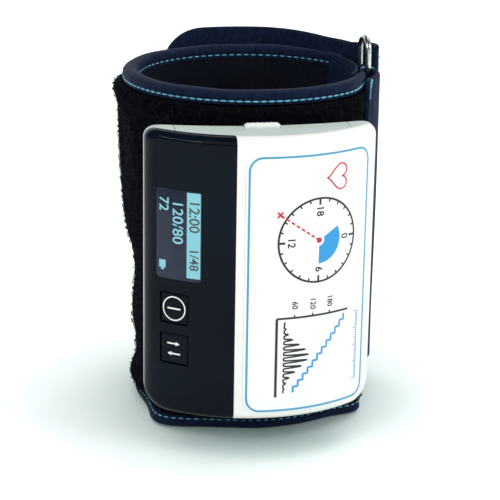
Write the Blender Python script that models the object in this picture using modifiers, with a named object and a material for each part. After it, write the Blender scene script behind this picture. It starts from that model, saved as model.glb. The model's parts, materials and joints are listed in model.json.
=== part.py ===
"""Ambulatory blood pressure monitor with its arm cuff.

Units are metres, +Z is up and the monitor faces -Y. The cuff stands on its lower edge.
Everything is laid out round the arm's axis, with the monitor's middle at x = 0. At the end the
root empty moves the whole assembly so that the origin lies at the bottom centre of its box.
"""

import math

import bmesh
import bpy
from mathutils import Matrix, Vector

# Fits that every piece shares
SEAT_GAP = 0.0003
CUT_OVERRUN = 0.003
WELD_DISTANCE = 0.00001

# Cuff: the arm's hollow, its walls and its taper
CUFF_HEIGHT = 0.140
ARM_HALF_WIDTH = 0.0452
ARM_HALF_DEPTH = 0.0408
ARM_CENTRE_X = 0.0027
LEFT_TAPER = 0.0105
BACK_TAPER = 0.006
LINER_WALL = 0.0010
BLADDER_WALL = 0.0030
PADDED_WALL = 0.0100
THIN_WALL = 0.0032
FRONT_SWELL = 0.0030
BINDING_WALL = 0.0060
BINDING_HEIGHT = 0.0070
BINDING_LAP = 0.0006
BINDING_ROUND = 0.0014
SHOULDER_HEIGHT = 0.0060
CREASE_DEPTH = 0.0020
CREASE_HEIGHT = 0.058
CREASE_SPREAD = 0.014
BLADDER_MARGIN = 0.006

# Cuff: where its layers start and end round the arm, as angles from +X towards +Y
CUFF_START = math.radians(24.5)
CUFF_END = math.radians(340.0)
THIN_UNTIL = math.radians(38.0)
PADDED_FROM = math.radians(78.0)
PADDED_UNTIL = math.radians(312.0)
THIN_FROM = math.radians(338.0)
FRONT_ANGLE = math.radians(270.0)
FRONT_SPREAD = math.radians(42.0)

# Cuff ring: a long wire loop that the tail runs through
RING_ANGLE = math.radians(7.0)
RING_WIRE_RADIUS = 0.0013
RING_SPACING = 0.0091
RING_OFFSET = 0.0042
RING_BOTTOM = 0.0075
RING_STAND = 0.0110
RING_TOP = CUFF_HEIGHT + RING_STAND

# Straps round the ring's two legs
STRAP_WALL = 0.0020
STRAP_BOTTOM = 0.0150
STRAP_MARGIN = 0.0025
STRAP_TOP = CUFF_HEIGHT - STRAP_MARGIN
STRAP_BULGE = 0.0016
LOOP_REACH = 0.0273
GUARD_WALL = 0.0009
GUARD_LAP = 0.0060

# Fold-back tail of the cuff and its hook patch
TAIL_WALL = 0.0024
TAIL_BOTTOM = 0.0100
TAIL_RISE = 0.0050
TAIL_TOP = CUFF_HEIGHT + TAIL_RISE
TAIL_END = math.radians(122.0)
TAIL_CORNER = 0.018
TAIL_TOP_LEAN = 0.0026
HOOK_WALL = 0.0006
HOOK_MARGIN = 0.008
HOOK_START = math.radians(60.0)

# Monitor housing
UNIT_HALF_WIDTH = 0.0445
UNIT_BOTTOM = 0.0166
UNIT_HEIGHT = 0.1120
UNIT_DEPTH = 0.0211
BACK_RISE = 0.00675
STAND_OFF = 0.0137
FACE_RISE = 0.01955
LOW_CORNER = 0.0080
HIGH_CORNER = 0.0045
FACE_ROUND = 0.0032
BACK_SIDE_ROUND = 0.0036
BACK_SIDE_SHARE = 0.40
BACK_CHAMFER_SHARE = 0.16
SHELL_WALL = 0.0020
COVER_DEPTH = 0.0052
PANEL_WIDTH = 0.0325
PANEL_SPLIT_X = PANEL_WIDTH - UNIT_HALF_WIDTH
UNIT_TOP = UNIT_BOTTOM + UNIT_HEIGHT
BACK_RADIUS = (UNIT_HALF_WIDTH**2 + BACK_RISE**2) / (2 * BACK_RISE)
BACK_Y = -ARM_HALF_DEPTH - STAND_OFF
FACE_RADIUS = (UNIT_HALF_WIDTH**2 + FACE_RISE**2) / (2 * FACE_RISE)
FACE_REACH = FACE_RADIUS * math.asin(UNIT_HALF_WIDTH / FACE_RADIUS)
FACE_CENTRE_Y = BACK_Y - UNIT_DEPTH + FACE_RADIUS

# Label recess on the white cover, measured along the curved face
LABEL_MARGIN = 0.0052
LABEL_WIDTH = 0.0533
LABEL_RIGHT = FACE_REACH - LABEL_MARGIN
LABEL_LEFT = LABEL_RIGHT - LABEL_WIDTH
LABEL_BOTTOM = 0.0199
LABEL_TOP = 0.1223
LABEL_CORNER = 0.0060
LABEL_FOIL = 0.0003

# Display and buttons on the black panel, measured along the curved face
WINDOW_MARGIN = 0.0059
WINDOW_WIDTH = 0.0187
WINDOW_LEFT = WINDOW_MARGIN - FACE_REACH
WINDOW_RIGHT = WINDOW_LEFT + WINDOW_WIDTH
WINDOW_BOTTOM = 0.0718
WINDOW_TOP = 0.1069
WINDOW_WALL = 0.0010
WINDOW_CORNER = 0.0012
DISPLAY_WALL = 0.0016
DISPLAY_BORDER = 0.0012
BUTTON_MARGIN = 0.01358
BUTTON_S = BUTTON_MARGIN - FACE_REACH
BUTTON_WIDTH = 0.0118
BUTTON_HEIGHT = 0.0119
BUTTON_WALL = 0.0016
BUTTON_ROUND = 0.0006
BUTTON_STEM = 0.0030
BUTTON_SINK = 0.0002
START_BUTTON_Z = 0.0598
TRANSFER_BUTTON_Z = 0.0434
BUTTON_TRAVEL = 0.0006

# Main board behind the panel
BOARD_DEPTH = 0.0056
BOARD_WIDTH = 0.0215
BOARD_WALL = 0.0012
BOARD_MARGIN = 0.0145
SWITCH_SIZE = 0.0042
SWITCH_BODY = 0.0012
SENSOR_SIZE = 0.0060
SENSOR_HEIGHT = 0.0022
SENSOR_Z = 0.0520
SENSOR_ALONG = 0.0062
BUZZER_RADIUS = 0.0035
BUZZER_HEIGHT = 0.0022
BUZZER_Z = 0.0352
BUZZER_ALONG = 0.0058

# Two AA cells side by side, and what carries them
CELL_RADIUS = 0.00715
CELL_LENGTH = 0.0490
CELL_NUB_RADIUS = 0.00275
CELL_NUB_HEIGHT = 0.0012
CELL_EDGE = 0.0006
CELL_SPACING = 0.0152
CELL_SETBACK = 0.0101
CELL_Y = BACK_Y - CELL_SETBACK
CONTACT_WALL = 0.0004
CONTACT_WIDTH = 0.0060
SPRING_WIRE = 0.00035
SPRING_BASE_RADIUS = 0.0042
SPRING_TIP_RADIUS = 0.0024
SPRING_HEIGHT = 0.0042
SPRING_TURNS = 3
SHELF_WALL = 0.0016
SHELF_HALF_WIDTH = 0.0163
SHELF_SIDE_WALL = 0.0010
SHELF_SIDE_HEIGHT = 0.030

# Battery door in the top end, with its latch
DOOR_MARGIN = 0.0110
DOOR_HALF_WIDTH = UNIT_HALF_WIDTH - DOOR_MARGIN
DOOR_WALL = 0.0024
DOOR_TONGUE_WIDTH = 0.0060
DOOR_TONGUE_WALL = 0.0012
DOOR_TONGUE_LENGTH = 0.0070
DOOR_TONGUE_X = 0.0255
LATCH_HALF_WIDTH = 0.0068
LATCH_DEPTH = 0.0030
LATCH_RISE = 0.0014
LATCH_SEAT = 0.0012
LATCH_STEP = 0.0007
LATCH_TRAVEL = 0.0008

# Pump, valve and air way
PUMP_Y = CELL_Y
MOTOR_RADIUS = 0.0060
MOTOR_LENGTH = 0.0150
MOTOR_NECK_RADIUS = 0.0022
MOTOR_NECK_HEIGHT = 0.0010
MOTOR_EDGE = 0.0006
SHAFT_RADIUS = 0.0010
SHAFT_DEPTH = 0.0060
CAM_RADIUS = 0.0040
CAM_HEIGHT = 0.0024
CAM_THROW = 0.0008
CRANK_RADIUS = 0.0008
CRANK_HEIGHT = 0.0030
HEAD_WIDTH = 0.0150
HEAD_DEPTH = 0.0120
HEAD_HEIGHT = 0.0105
HEAD_ROUND = 0.0010
HEAD_NIPPLE_RADIUS = 0.0012
MANIFOLD_WIDTH = 0.0080
MANIFOLD_DEPTH = 0.0090
MANIFOLD_HEIGHT = 0.0085
NIPPLE_RADIUS = 0.0011
NIPPLE_LENGTH = 0.0024
TUBE_RADIUS = 0.0014
TUBE_STEER = 0.0120
SENSOR_TUBE_RADIUS = 0.0010
VALVE_X = 0.0250
VALVE_SETBACK = 0.0055
VALVE_Y = BACK_Y - VALVE_SETBACK
VALVE_RADIUS = 0.0042
VALVE_LENGTH = 0.0120
PLUNGER_RADIUS = 0.0012
PLUNGER_REACH = 0.0030
PLUNGER_DEPTH = 0.0050
PLUNGER_TRAVEL = 0.0010

# Air coupling between the monitor and the cuff
PORT_Z = 0.0590
SPOUT_RADIUS = 0.0022
SPOUT_BORE = 0.0010
SPOUT_REACH = 0.0058
SPOUT_COLLAR_RADIUS = 0.0031
SPOUT_COLLAR = 0.0009
SPOUT_FLANGE_RADIUS = 0.0046
SPOUT_FLANGE = 0.0012
O_RING_RADIUS = 0.0004
GROMMET_BORE = 0.0036
GROMMET_RADIUS = 0.0050
GROMMET_FLANGE_RADIUS = 0.0070
GROMMET_FLANGE = 0.0011

# Holder plate on the front of the cuff
PLATE_HALF_WIDTH = 0.0220
PLATE_BOTTOM = 0.0260
PLATE_TOP = 0.1180
PLATE_WALL = 0.0016
PEG_X = 0.0150
PEG_Z = 0.1040
PEG_RADIUS = 0.0022
PEG_HEIGHT = 0.0026
RIVET_X = 0.0170
RIVET_MARGIN = 0.0080
RIVET_RADIUS = 0.0024
RIVET_HEAD = 0.0006
RIVET_SHANK_RADIUS = 0.0012
RIVET_SHANK = 0.0040

# Housing screws, driven from the back
SCREW_SIDE_MARGIN = 0.0090
SCREW_X = UNIT_HALF_WIDTH - SCREW_SIDE_MARGIN
SCREW_MARGIN = 0.0095
SCREW_HEAD_RADIUS = 0.0019
SCREW_HEAD = 0.0012
SCREW_SHANK_RADIUS = 0.0009
SCREW_SHANK = 0.0090
SCREW_RECESS = 0.0004
BOSS_RADIUS = 0.0032

# Finishes: colour, roughness, metallic
FINISHES = {
    "white_cover": ("FBFCF8", 0.32, 0.0),
    "grey_cover": ("C3CDC9", 0.42, 0.0),
    "black_panel": ("1A1F26", 0.18, 0.0),
    "clear_window": ("3A4052", 0.08, 0.0),
    "navy_nylon": ("18203C", 0.78, 0.0),
    "loop_velour": ("0A0B14", 0.95, 0.0),
    "hook_tape": ("10131F", 0.85, 0.0),
    "rubber": ("23252A", 0.70, 0.0),
    "steel": ("B9BDC0", 0.28, 1.0),
    "board_green": ("1E5B3A", 0.45, 0.0),
    "cell_jacket": ("2F6DA8", 0.35, 0.0),
    "silicone": ("DCE3E2", 0.50, 0.0),
    "label_foil": ("F7F9F6", 0.38, 0.0),
    "inner_plastic": ("4A4F55", 0.50, 0.0),
}

# Counts of facets
WALL_STEPS = 52
HOUSING_COLUMNS = 16
CORNER_STEPS = 5
ROUND_STEPS = 4
TURN_STEPS = 20
BEND_STEPS = 8
SPRING_STEPS = 10
SEAL_STEPS = 8
RUN_STEPS = 4
SHARP_ANGLE = math.radians(32)


def make_collection(name, hidden=False):
    """A collection in the scene; the one for cutters is left out of renders."""
    collection = bpy.data.collections.new(name)
    bpy.context.scene.collection.children.link(collection)
    collection.hide_render = hidden
    return collection


def make_finish(name):
    """A Principled material from the table of finishes."""
    colour, roughness, metallic = FINISHES[name]
    finish = bpy.data.materials.new(name)
    finish.use_nodes = True
    shader = finish.node_tree.nodes["Principled BSDF"]
    channels = [int(colour[i : i + 2], 16) / 255 for i in (0, 2, 4)]
    linear = [c / 12.92 if c <= 0.04045 else ((c + 0.055) / 1.055) ** 2.4 for c in channels]
    shader.inputs["Base Color"].default_value = (*linear, 1.0)
    shader.inputs["Roughness"].default_value = roughness
    shader.inputs["Metallic"].default_value = metallic
    return finish


def smooth_step(value, start, end):
    """0 before start, 1 after end, with a soft change between."""
    share = min(max((value - start) / (end - start), 0.0), 1.0)
    return share * share * (3 - 2 * share)


class Assembly:
    """Keeps the collections, the finishes and the empty that carries each moving body."""

    def __init__(self):
        self.parts = make_collection("ambulatory_blood_pressure_monitor")
        self.cutters = make_collection("cutters", hidden=True)
        self.finishes = {name: make_finish(name) for name in FINISHES}
        self.root = bpy.data.objects.new("assembly_root", None)
        self.parts.objects.link(self.root)
        self.bodies = {}

    def add_body(self, name, place):
        """An empty on the body's joint axis, which its pieces are parented to."""
        empty = bpy.data.objects.new(name + "_body", None)
        empty.location = place
        empty.parent = self.root
        self.parts.objects.link(empty)
        bpy.context.view_layer.update()
        self.bodies[name] = empty

    def add(self, piece, body, finish):
        """Puts a piece on its body and gives it its finish."""
        for collection in list(piece.users_collection):
            collection.objects.unlink(piece)
        self.parts.objects.link(piece)
        piece.data.materials.clear()
        piece.data.materials.append(self.finishes[finish])
        if piece.type == "MESH":
            piece.data.shade_smooth()
            piece.data.set_sharp_from_angle(angle=SHARP_ANGLE)
        carrier = self.bodies[body]
        piece.parent = carrier
        piece.matrix_parent_inverse = carrier.matrix_world.inverted()
        return piece

    def cut(self, piece, cutter, operation="DIFFERENCE", solver="EXACT"):
        """A Boolean with a hidden cutter."""
        if cutter.name not in self.cutters.objects:
            for collection in list(cutter.users_collection):
                collection.objects.unlink(cutter)
            self.cutters.objects.link(cutter)
            cutter.parent = self.root
        cutter.hide_render = True
        cutter.display_type = "WIRE"
        modifier = piece.modifiers.new(cutter.name, "BOOLEAN")
        modifier.operation = operation
        modifier.solver = solver
        modifier.object = cutter
        return piece


def mesh_object(name, shape):
    """Closes a bmesh into an object with its faces pointing out."""
    bmesh.ops.recalc_face_normals(shape, faces=shape.faces)
    mesh = bpy.data.meshes.new(name)
    shape.to_mesh(mesh)
    shape.free()
    piece = bpy.data.objects.new(name, mesh)
    bpy.context.scene.collection.objects.link(piece)
    return piece


def loop_loft(name, loops, closed=False):
    """A solid through a row of like loops of points; the ends are capped unless it closes on itself."""
    shape = bmesh.new()
    rows = [[shape.verts.new(point) for point in loop] for loop in loops]
    count = len(rows[0])
    pairs = list(zip(rows, rows[1:]))
    if closed:
        pairs.append((rows[-1], rows[0]))
    for first, second in pairs:
        for i in range(count):
            j = (i + 1) % count
            shape.faces.new((first[i], first[j], second[j], second[i]))
    if not closed:
        shape.faces.new(rows[0])
        shape.faces.new(rows[-1])
    return mesh_object(name, shape)


def ribbon(name, line, wall, low, high):
    """A strap: a centre line of (x, y) points, given a wall and a height."""
    before = [line[0]] + line[:-1]
    after = line[1:] + [line[-1]]
    sides = [(b - a).orthogonal().normalized() * wall / 2 for a, b in zip(before, after)]
    loops = []
    for point, side in zip(line, sides):
        inner = point - side
        outer = point + side
        loops.append(
            [
                Vector((inner.x, inner.y, low)),
                Vector((outer.x, outer.y, low)),
                Vector((outer.x, outer.y, high)),
                Vector((inner.x, inner.y, high)),
            ]
        )
    return loop_loft(name, loops)


def slab(name, left, right, front, back, bottom, top, columns=HOUSING_COLUMNS):
    """A plate between two curves y = front(x) and y = back(x)."""
    xs = [left + (right - left) * i / columns for i in range(columns + 1)]
    loops = [
        [
            Vector((x, front(x), bottom)),
            Vector((x, back(x), bottom)),
            Vector((x, back(x), top)),
            Vector((x, front(x), top)),
        ]
        for x in xs
    ]
    return loop_loft(name, loops)


def block(name, size, place=Matrix(), rounding=0.0):
    """A box of this size, centred on a place that may be turned."""
    bpy.ops.mesh.primitive_cube_add(size=1)
    piece = bpy.context.active_object
    piece.name = name
    piece.data.name = name
    piece.data.transform(Matrix.Diagonal((*size, 1)))
    piece.data.transform(place)
    if rounding:
        bevel = piece.modifiers.new("edges", "BEVEL")
        bevel.width = rounding
        bevel.segments = 2
    return piece


def turned(name, profile, place=Matrix(), steps=TURN_STEPS):
    """A turned piece: its (radius, height) profile runs down the outer side, top to bottom."""
    mesh = bpy.data.meshes.new(name)
    edges = [(i, i + 1) for i in range(len(profile) - 1)]
    mesh.from_pydata([(r, 0, z) for r, z in profile], edges, [])
    piece = bpy.data.objects.new(name, mesh)
    bpy.context.scene.collection.objects.link(piece)
    piece.matrix_world = place
    screw = piece.modifiers.new("turn", "SCREW")
    screw.steps = steps
    screw.render_steps = steps
    screw.use_merge_vertices = True
    screw.merge_threshold = WELD_DISTANCE
    return piece


def rod(name, radius, length, place, steps=TURN_STEPS):
    """A plain cylinder from the place's origin along its Z."""
    return turned(name, [(0, length), (radius, length), (radius, 0), (0, 0)], place, steps)


def toward(point, direction):
    """A frame at this point whose Z lies along a direction."""
    turn = Vector(direction).to_track_quat("Z", "Y").to_matrix().to_4x4()
    return Matrix.Translation(point) @ turn


def left_share(angle):
    """How far the wall at this angle takes part in the lean of the left side."""
    return smooth_step(-math.cos(angle), -math.cos(PADDED_FROM), 1.0)


def back_share(angle):
    """How far the wall at this angle takes part in the lean of the back."""
    return smooth_step(math.sin(angle), math.sin(THIN_UNTIL), 1.0)


def arm_point(angle, offset, height):
    """A point this far outside the inner face of the lining, on the tapering wall."""
    lean = 1 - height / CUFF_HEIGHT
    x = ARM_CENTRE_X + (ARM_HALF_WIDTH + offset) * math.cos(angle)
    y = (ARM_HALF_DEPTH + offset) * math.sin(angle)
    x += lean * LEFT_TAPER * left_share(angle)
    y -= lean * BACK_TAPER * back_share(angle)
    return Vector((x, y, height))


def pad_share(angle):
    """1 where the wall is padded, 0 where only two layers meet beside the ring."""
    return smooth_step(angle, THIN_UNTIL, PADDED_FROM) * (1 - smooth_step(angle, PADDED_UNTIL, THIN_FROM))


def angles_between(start, end, steps=WALL_STEPS):
    """Evenly spaced angles, more of them on a longer stretch."""
    count = max(3, round(steps * (end - start) / (2 * math.pi)))
    return [start + (end - start) * i / count for i in range(count + 1)]


def binding_reach(angle):
    """Offset of the binding's outer face."""
    return THIN_WALL + (BINDING_WALL - THIN_WALL) * pad_share(angle)


def wall_reach(angle, height):
    """Offset of the velour's outer face: padded, drawn in under the bindings, with a crease at the left."""
    front = math.exp(-(((angle - FRONT_ANGLE) / FRONT_SPREAD) ** 4))
    full = THIN_WALL + (PADDED_WALL - THIN_WALL) * pad_share(angle) + FRONT_SWELL * front
    edge = min(height, CUFF_HEIGHT - height) - BINDING_HEIGHT
    rise = min(max(edge / SHOULDER_HEIGHT, 0.0), 1.0)
    shoulder = math.sqrt(1 - (1 - rise) ** 2)
    crease = CREASE_DEPTH * left_share(angle) * math.exp(-(((height - CREASE_HEIGHT) / CREASE_SPREAD) ** 2))
    tight = binding_reach(angle)
    return tight + (full - tight) * shoulder - crease


def inner_reach(angle):
    """Offset of the velour layer's inner face, outside the bladder."""
    bare = LINER_WALL + SEAT_GAP
    return bare + (BLADDER_WALL + SEAT_GAP) * pad_share(angle)


def back_y(x, inset=0.0):
    """The monitor's hollow back, or a curve this far inside it."""
    radius = BACK_RADIUS + inset
    return BACK_Y + BACK_RADIUS - math.sqrt(radius * radius - x * x)


def plate_front_y(x):
    """Front face of the holder plate, just behind the monitor."""
    return back_y(x, -SEAT_GAP)


def plate_back_y(x):
    """Back face of the holder plate."""
    return back_y(x, -SEAT_GAP - PLATE_WALL)


def velour_point(angle, offset, height):
    """A point of the velour layer, pressed flat by the holder plate at the front."""
    point = arm_point(angle, offset, height)
    if abs(point.x) < UNIT_HALF_WIDTH:
        point.y = max(point.y, back_y(point.x, -2 * SEAT_GAP - PLATE_WALL))
    return point


def wall_loops(angles, section, place=arm_point):
    """Loops of points for a wall: section(angle) gives its (offset, height) pairs."""
    return [[place(angle, offset, height) for offset, height in section(angle)] for angle in angles]


def wall_heights():
    """Heights of the velour's rows, closer together at the shoulders."""
    low = BINDING_HEIGHT + SEAT_GAP
    high = CUFF_HEIGHT - low
    shoulder_shares = (0.0, 0.12, 0.4, 1.0)
    lower = [low + SHOULDER_HEIGHT * share for share in shoulder_shares]
    upper = [high - SHOULDER_HEIGHT * share for share in reversed(shoulder_shares)]
    between = 6
    span = upper[0] - lower[-1]
    return lower + [lower[-1] + span * i / between for i in range(1, between)] + upper


def make_cuff_walls(assembly):
    """Lining, bladder, velour and the two bindings, all open at the ring."""
    low = BINDING_HEIGHT + SEAT_GAP
    high = CUFF_HEIGHT - low
    heights = wall_heights()
    start = CUFF_START
    end = CUFF_END

    def liner_section(angle):
        return [(0.0, low), (LINER_WALL, low), (LINER_WALL, high), (0.0, high)]

    def bladder_section(angle):
        inner = LINER_WALL + SEAT_GAP
        outer = inner + BLADDER_WALL
        bottom = low + BLADDER_MARGIN
        top = high - BLADDER_MARGIN
        return [(inner, bottom), (outer, bottom), (outer, top), (inner, top)]

    def velour_section(angle):
        inner = inner_reach(angle)
        outside = [(wall_reach(angle, height), height) for height in heights]
        return [(inner, heights[0])] + outside + [(inner, heights[-1])]

    def binding_section(angle, top):
        outer = binding_reach(angle)
        inner = -BINDING_LAP
        rows = [(inner, BINDING_HEIGHT), (inner, BINDING_LAP), (inner + BINDING_LAP, 0.0)]
        rows += [(outer - BINDING_ROUND, 0.0), (outer, BINDING_ROUND), (outer, BINDING_HEIGHT)]
        if top:
            return [(offset, CUFF_HEIGHT - height) for offset, height in reversed(rows)]
        return rows

    angles = angles_between(start, end)
    liner = loop_loft("cuff_liner", wall_loops(angles, liner_section))
    assembly.add(liner, "cuff", "navy_nylon")
    padded = angles_between(PADDED_FROM, PADDED_UNTIL)
    bladder = loop_loft("air_bladder", wall_loops(padded, bladder_section))
    assembly.add(bladder, "cuff", "rubber")
    velour = loop_loft("cuff_velour", wall_loops(angles, velour_section, velour_point))
    assembly.add(velour, "cuff", "loop_velour")
    counterbore = rod(
        "grommet_seat",
        GROMMET_FLANGE_RADIUS + SEAT_GAP,
        GROMMET_FLANGE + SEAT_GAP + CUT_OVERRUN,
        toward((0, -ARM_HALF_DEPTH - inner_reach(FRONT_ANGLE) + CUT_OVERRUN, PORT_Z), (0, -1, 0)),
    )
    assembly.cut(velour, counterbore)
    bore = rod(
        "grommet_bore",
        GROMMET_RADIUS + SEAT_GAP,
        PADDED_WALL + CUT_OVERRUN * 2,
        toward((0, -ARM_HALF_DEPTH - LINER_WALL - BLADDER_WALL, PORT_Z), (0, -1, 0)),
    )
    assembly.cut(velour, bore)
    for name, top in (("bottom_binding", False), ("top_binding", True)):
        loops = wall_loops(angles, lambda angle, top=top: binding_section(angle, top))
        assembly.add(loop_loft(name, loops), "cuff", "navy_nylon")
    return velour


def ring_point(along, offset):
    """A point of the strap work beside the ring, as (x, y): along the wall from the ring's middle."""
    turn = along / (ARM_HALF_DEPTH + RING_OFFSET)
    point = arm_point(RING_ANGLE + turn, offset, CUFF_HEIGHT)
    return Vector((point.x, point.y))


def strap_path(side):
    """Inner run and bend round the leg of a strap; side is -1 for the front leg, 1 for the rear."""
    bend = RING_WIRE_RADIUS + SEAT_GAP + STRAP_WALL / 2
    leg = RING_SPACING / 2
    wall_end = (CUFF_START - RING_ANGLE) if side > 0 else (RING_ANGLE + 2 * math.pi - CUFF_END)
    reach = wall_end * (ARM_HALF_DEPTH + RING_OFFSET) - SEAT_GAP
    inner = RING_OFFSET - bend
    pairs = [(reach, inner), ((reach + leg) / 2, inner)]
    for i in range(BEND_STEPS + 1):
        turn = math.pi * i / BEND_STEPS
        pairs.append((leg - bend * math.sin(turn), RING_OFFSET - bend * math.cos(turn)))
    return pairs, reach


def over_velour(along):
    """Offset of a strap's centre where it lies on the velour in front of the ring."""
    angle = RING_ANGLE + 2 * math.pi - along / (ARM_HALF_DEPTH + RING_OFFSET)
    return wall_reach(angle, CUFF_HEIGHT / 2) + SEAT_GAP + STRAP_WALL / 2


def make_straps(assembly):
    """The loop that holds the ring, the tail's turn round the ring, and the guard inside."""
    pairs, reach = strap_path(-1)
    top_run = RING_OFFSET + RING_WIRE_RADIUS + SEAT_GAP + STRAP_WALL / 2
    leg = RING_SPACING / 2
    for i in range(1, RUN_STEPS + 1):
        share = i / RUN_STEPS
        sag = STRAP_BULGE * math.sin(math.pi * share)
        pairs.append((leg + (reach - leg) * share, top_run + (over_velour(reach) - top_run) * share + sag))
    for i in range(1, RUN_STEPS + 1):
        along = reach + (LOOP_REACH - reach) * i / RUN_STEPS
        pairs.append((along, over_velour(along)))
    line = [ring_point(-along, offset) for along, offset in pairs]
    assembly.add(ribbon("ring_loop", line, STRAP_WALL, STRAP_BOTTOM, STRAP_TOP), "cuff", "navy_nylon")

    pairs, reach = strap_path(1)
    root = THIN_WALL + 2 * SEAT_GAP + HOOK_WALL + TAIL_WALL / 2
    middle = (reach + RING_SPACING / 2) / 2
    pairs += [(middle, top_run + STRAP_BULGE), (reach, root)]
    line = [ring_point(along, offset) for along, offset in pairs]
    assembly.add(ribbon("tail_strap", line, STRAP_WALL, STRAP_BOTTOM, STRAP_TOP), "cuff", "navy_nylon")

    lap = GUARD_LAP / ARM_HALF_WIDTH
    angles = angles_between(CUFF_END - 2 * math.pi - lap, CUFF_START + lap)
    inner = -BINDING_LAP - SEAT_GAP - GUARD_WALL

    def guard_section(angle):
        outer = inner + GUARD_WALL
        return [(inner, 0.0), (outer, 0.0), (outer, CUFF_HEIGHT), (inner, CUFF_HEIGHT)]

    assembly.add(loop_loft("skin_guard", wall_loops(angles, guard_section)), "cuff", "navy_nylon")


def make_ring(assembly):
    """The long wire loop."""
    front = ring_point(-RING_SPACING / 2, RING_OFFSET)
    rear = ring_point(RING_SPACING / 2, RING_OFFSET)
    middle = (front + rear) / 2
    half = (rear - front).length / 2
    across = (rear - front).normalized()
    low = RING_BOTTOM + RING_WIRE_RADIUS + half
    high = RING_TOP - RING_WIRE_RADIUS - half
    outline = []
    for centre, first in ((high, 0.0), (low, math.pi)):
        for i in range(BEND_STEPS + 1):
            turn = first + math.pi * i / BEND_STEPS
            outline.append((half * math.cos(turn), centre + half * math.sin(turn)))
    curve = bpy.data.curves.new("ring_wire", "CURVE")
    curve.dimensions = "3D"
    curve.bevel_depth = RING_WIRE_RADIUS
    curve.bevel_resolution = 2
    spline = curve.splines.new("POLY")
    spline.points.add(len(outline) - 1)
    for point, (along, height) in zip(spline.points, outline):
        spot = middle + across * along
        point.co = (spot.x, spot.y, height, 1.0)
    spline.use_cyclic_u = True
    ring = bpy.data.objects.new("cuff_ring", curve)
    bpy.context.scene.collection.objects.link(ring)
    assembly.add_body("ring", (middle.x, middle.y, RING_BOTTOM))
    assembly.add(ring, "ring", "steel")


def tail_reach(angle, height):
    """Offset of the inner face of the fold-back tail, which leans out towards its top."""
    rest = max(wall_reach(angle, CUFF_HEIGHT / 2), THIN_WALL) + 2 * SEAT_GAP + HOOK_WALL
    return rest + TAIL_TOP_LEAN * smooth_step(height, CUFF_HEIGHT / 2, TAIL_TOP) * back_share(angle)


def make_tail(assembly):
    """The tail that folds back through the ring and fastens over the velour."""
    root = ring_point(strap_path(1)[1] + SEAT_GAP * 2, THIN_WALL + 2 * SEAT_GAP + HOOK_WALL + TAIL_WALL)
    assembly.add_body("tail", (root.x, root.y, 0.0))
    first = CUFF_START + SEAT_GAP * 2 / ARM_HALF_WIDTH
    row_shares = (0.0, 0.14, 0.36, 0.64, 0.86, 1.0)

    def section(angle):
        left = (TAIL_END - angle) * (ARM_HALF_DEPTH + PADDED_WALL)
        drop = max(TAIL_CORNER - left, 0.0)
        round_off = TAIL_CORNER - math.sqrt(max(TAIL_CORNER**2 - drop**2, 0.0))
        bottom = TAIL_BOTTOM + round_off
        height = TAIL_TOP - TAIL_BOTTOM - 2 * round_off
        rows = [bottom + height * share for share in row_shares]
        inner = [(tail_reach(angle, row), row) for row in rows]
        return inner + [(offset + TAIL_WALL, row) for offset, row in reversed(inner)]

    corner = TAIL_CORNER / (ARM_HALF_DEPTH + PADDED_WALL)
    angles = angles_between(first, TAIL_END - corner)
    corner_shares = (0.35, 0.62, 0.82, 0.94)
    angles += [TAIL_END - corner + corner * share for share in corner_shares]
    tail = loop_loft("cuff_tail", wall_loops(angles, section))
    assembly.add(tail, "tail", "navy_nylon")

    def hook_section(angle):
        rows = [TAIL_BOTTOM + HOOK_MARGIN, CUFF_HEIGHT / 2, CUFF_HEIGHT - SHOULDER_HEIGHT * 3]
        outer = [(tail_reach(angle, row) - SEAT_GAP, row) for row in rows]
        return [(offset - HOOK_WALL, row) for offset, row in outer] + list(reversed(outer))

    hook_angles = angles_between(HOOK_START, TAIL_END - corner)
    hook = loop_loft("hook_patch", wall_loops(hook_angles, hook_section))
    assembly.add(hook, "tail", "hook_tape")


def face_y(x, inset=0.0):
    """The monitor's curved face, or a curve this far inside it."""
    radius = FACE_RADIUS - inset
    return FACE_CENTRE_Y - math.sqrt(radius * radius - x * x)


def parting_y(x):
    """Where the covers meet the rear housing."""
    return face_y(x) + COVER_DEPTH


def face_frame(along, height, depth=0.0):
    """A frame on the face: X along the curve, Y inwards, Z up."""
    turn = along / FACE_RADIUS
    radius = FACE_RADIUS - depth
    point = Vector((radius * math.sin(turn), FACE_CENTRE_Y - radius * math.cos(turn), height))
    return Matrix.Translation(point) @ Matrix.Rotation(turn, 4, "Z")


def outline_columns(left, right, bottom, top, low_corner, high_corner, middle=HOUSING_COLUMNS):
    """A rounded rectangle as columns of (lower point, upper point), from left to right."""
    columns = []
    for i in range(CORNER_STEPS):
        turn = math.pi / 2 * i / CORNER_STEPS
        across = 1 - math.cos(turn)
        rise = 1 - math.sin(turn)
        lower = (left + low_corner * across, bottom + low_corner * rise)
        upper = (left + high_corner * across, top - high_corner * rise)
        columns.append((lower, upper))
    mirrored = [
        ((left + right - lower[0], lower[1]), (left + right - upper[0], upper[1]))
        for lower, upper in reversed(columns)
    ]
    for i in range(middle + 1):
        share = i / middle
        lower_x = left + low_corner + (right - left - 2 * low_corner) * share
        upper_x = left + high_corner + (right - left - 2 * high_corner) * share
        columns.append(((lower_x, bottom), (upper_x, top)))
    return columns + mirrored


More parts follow.
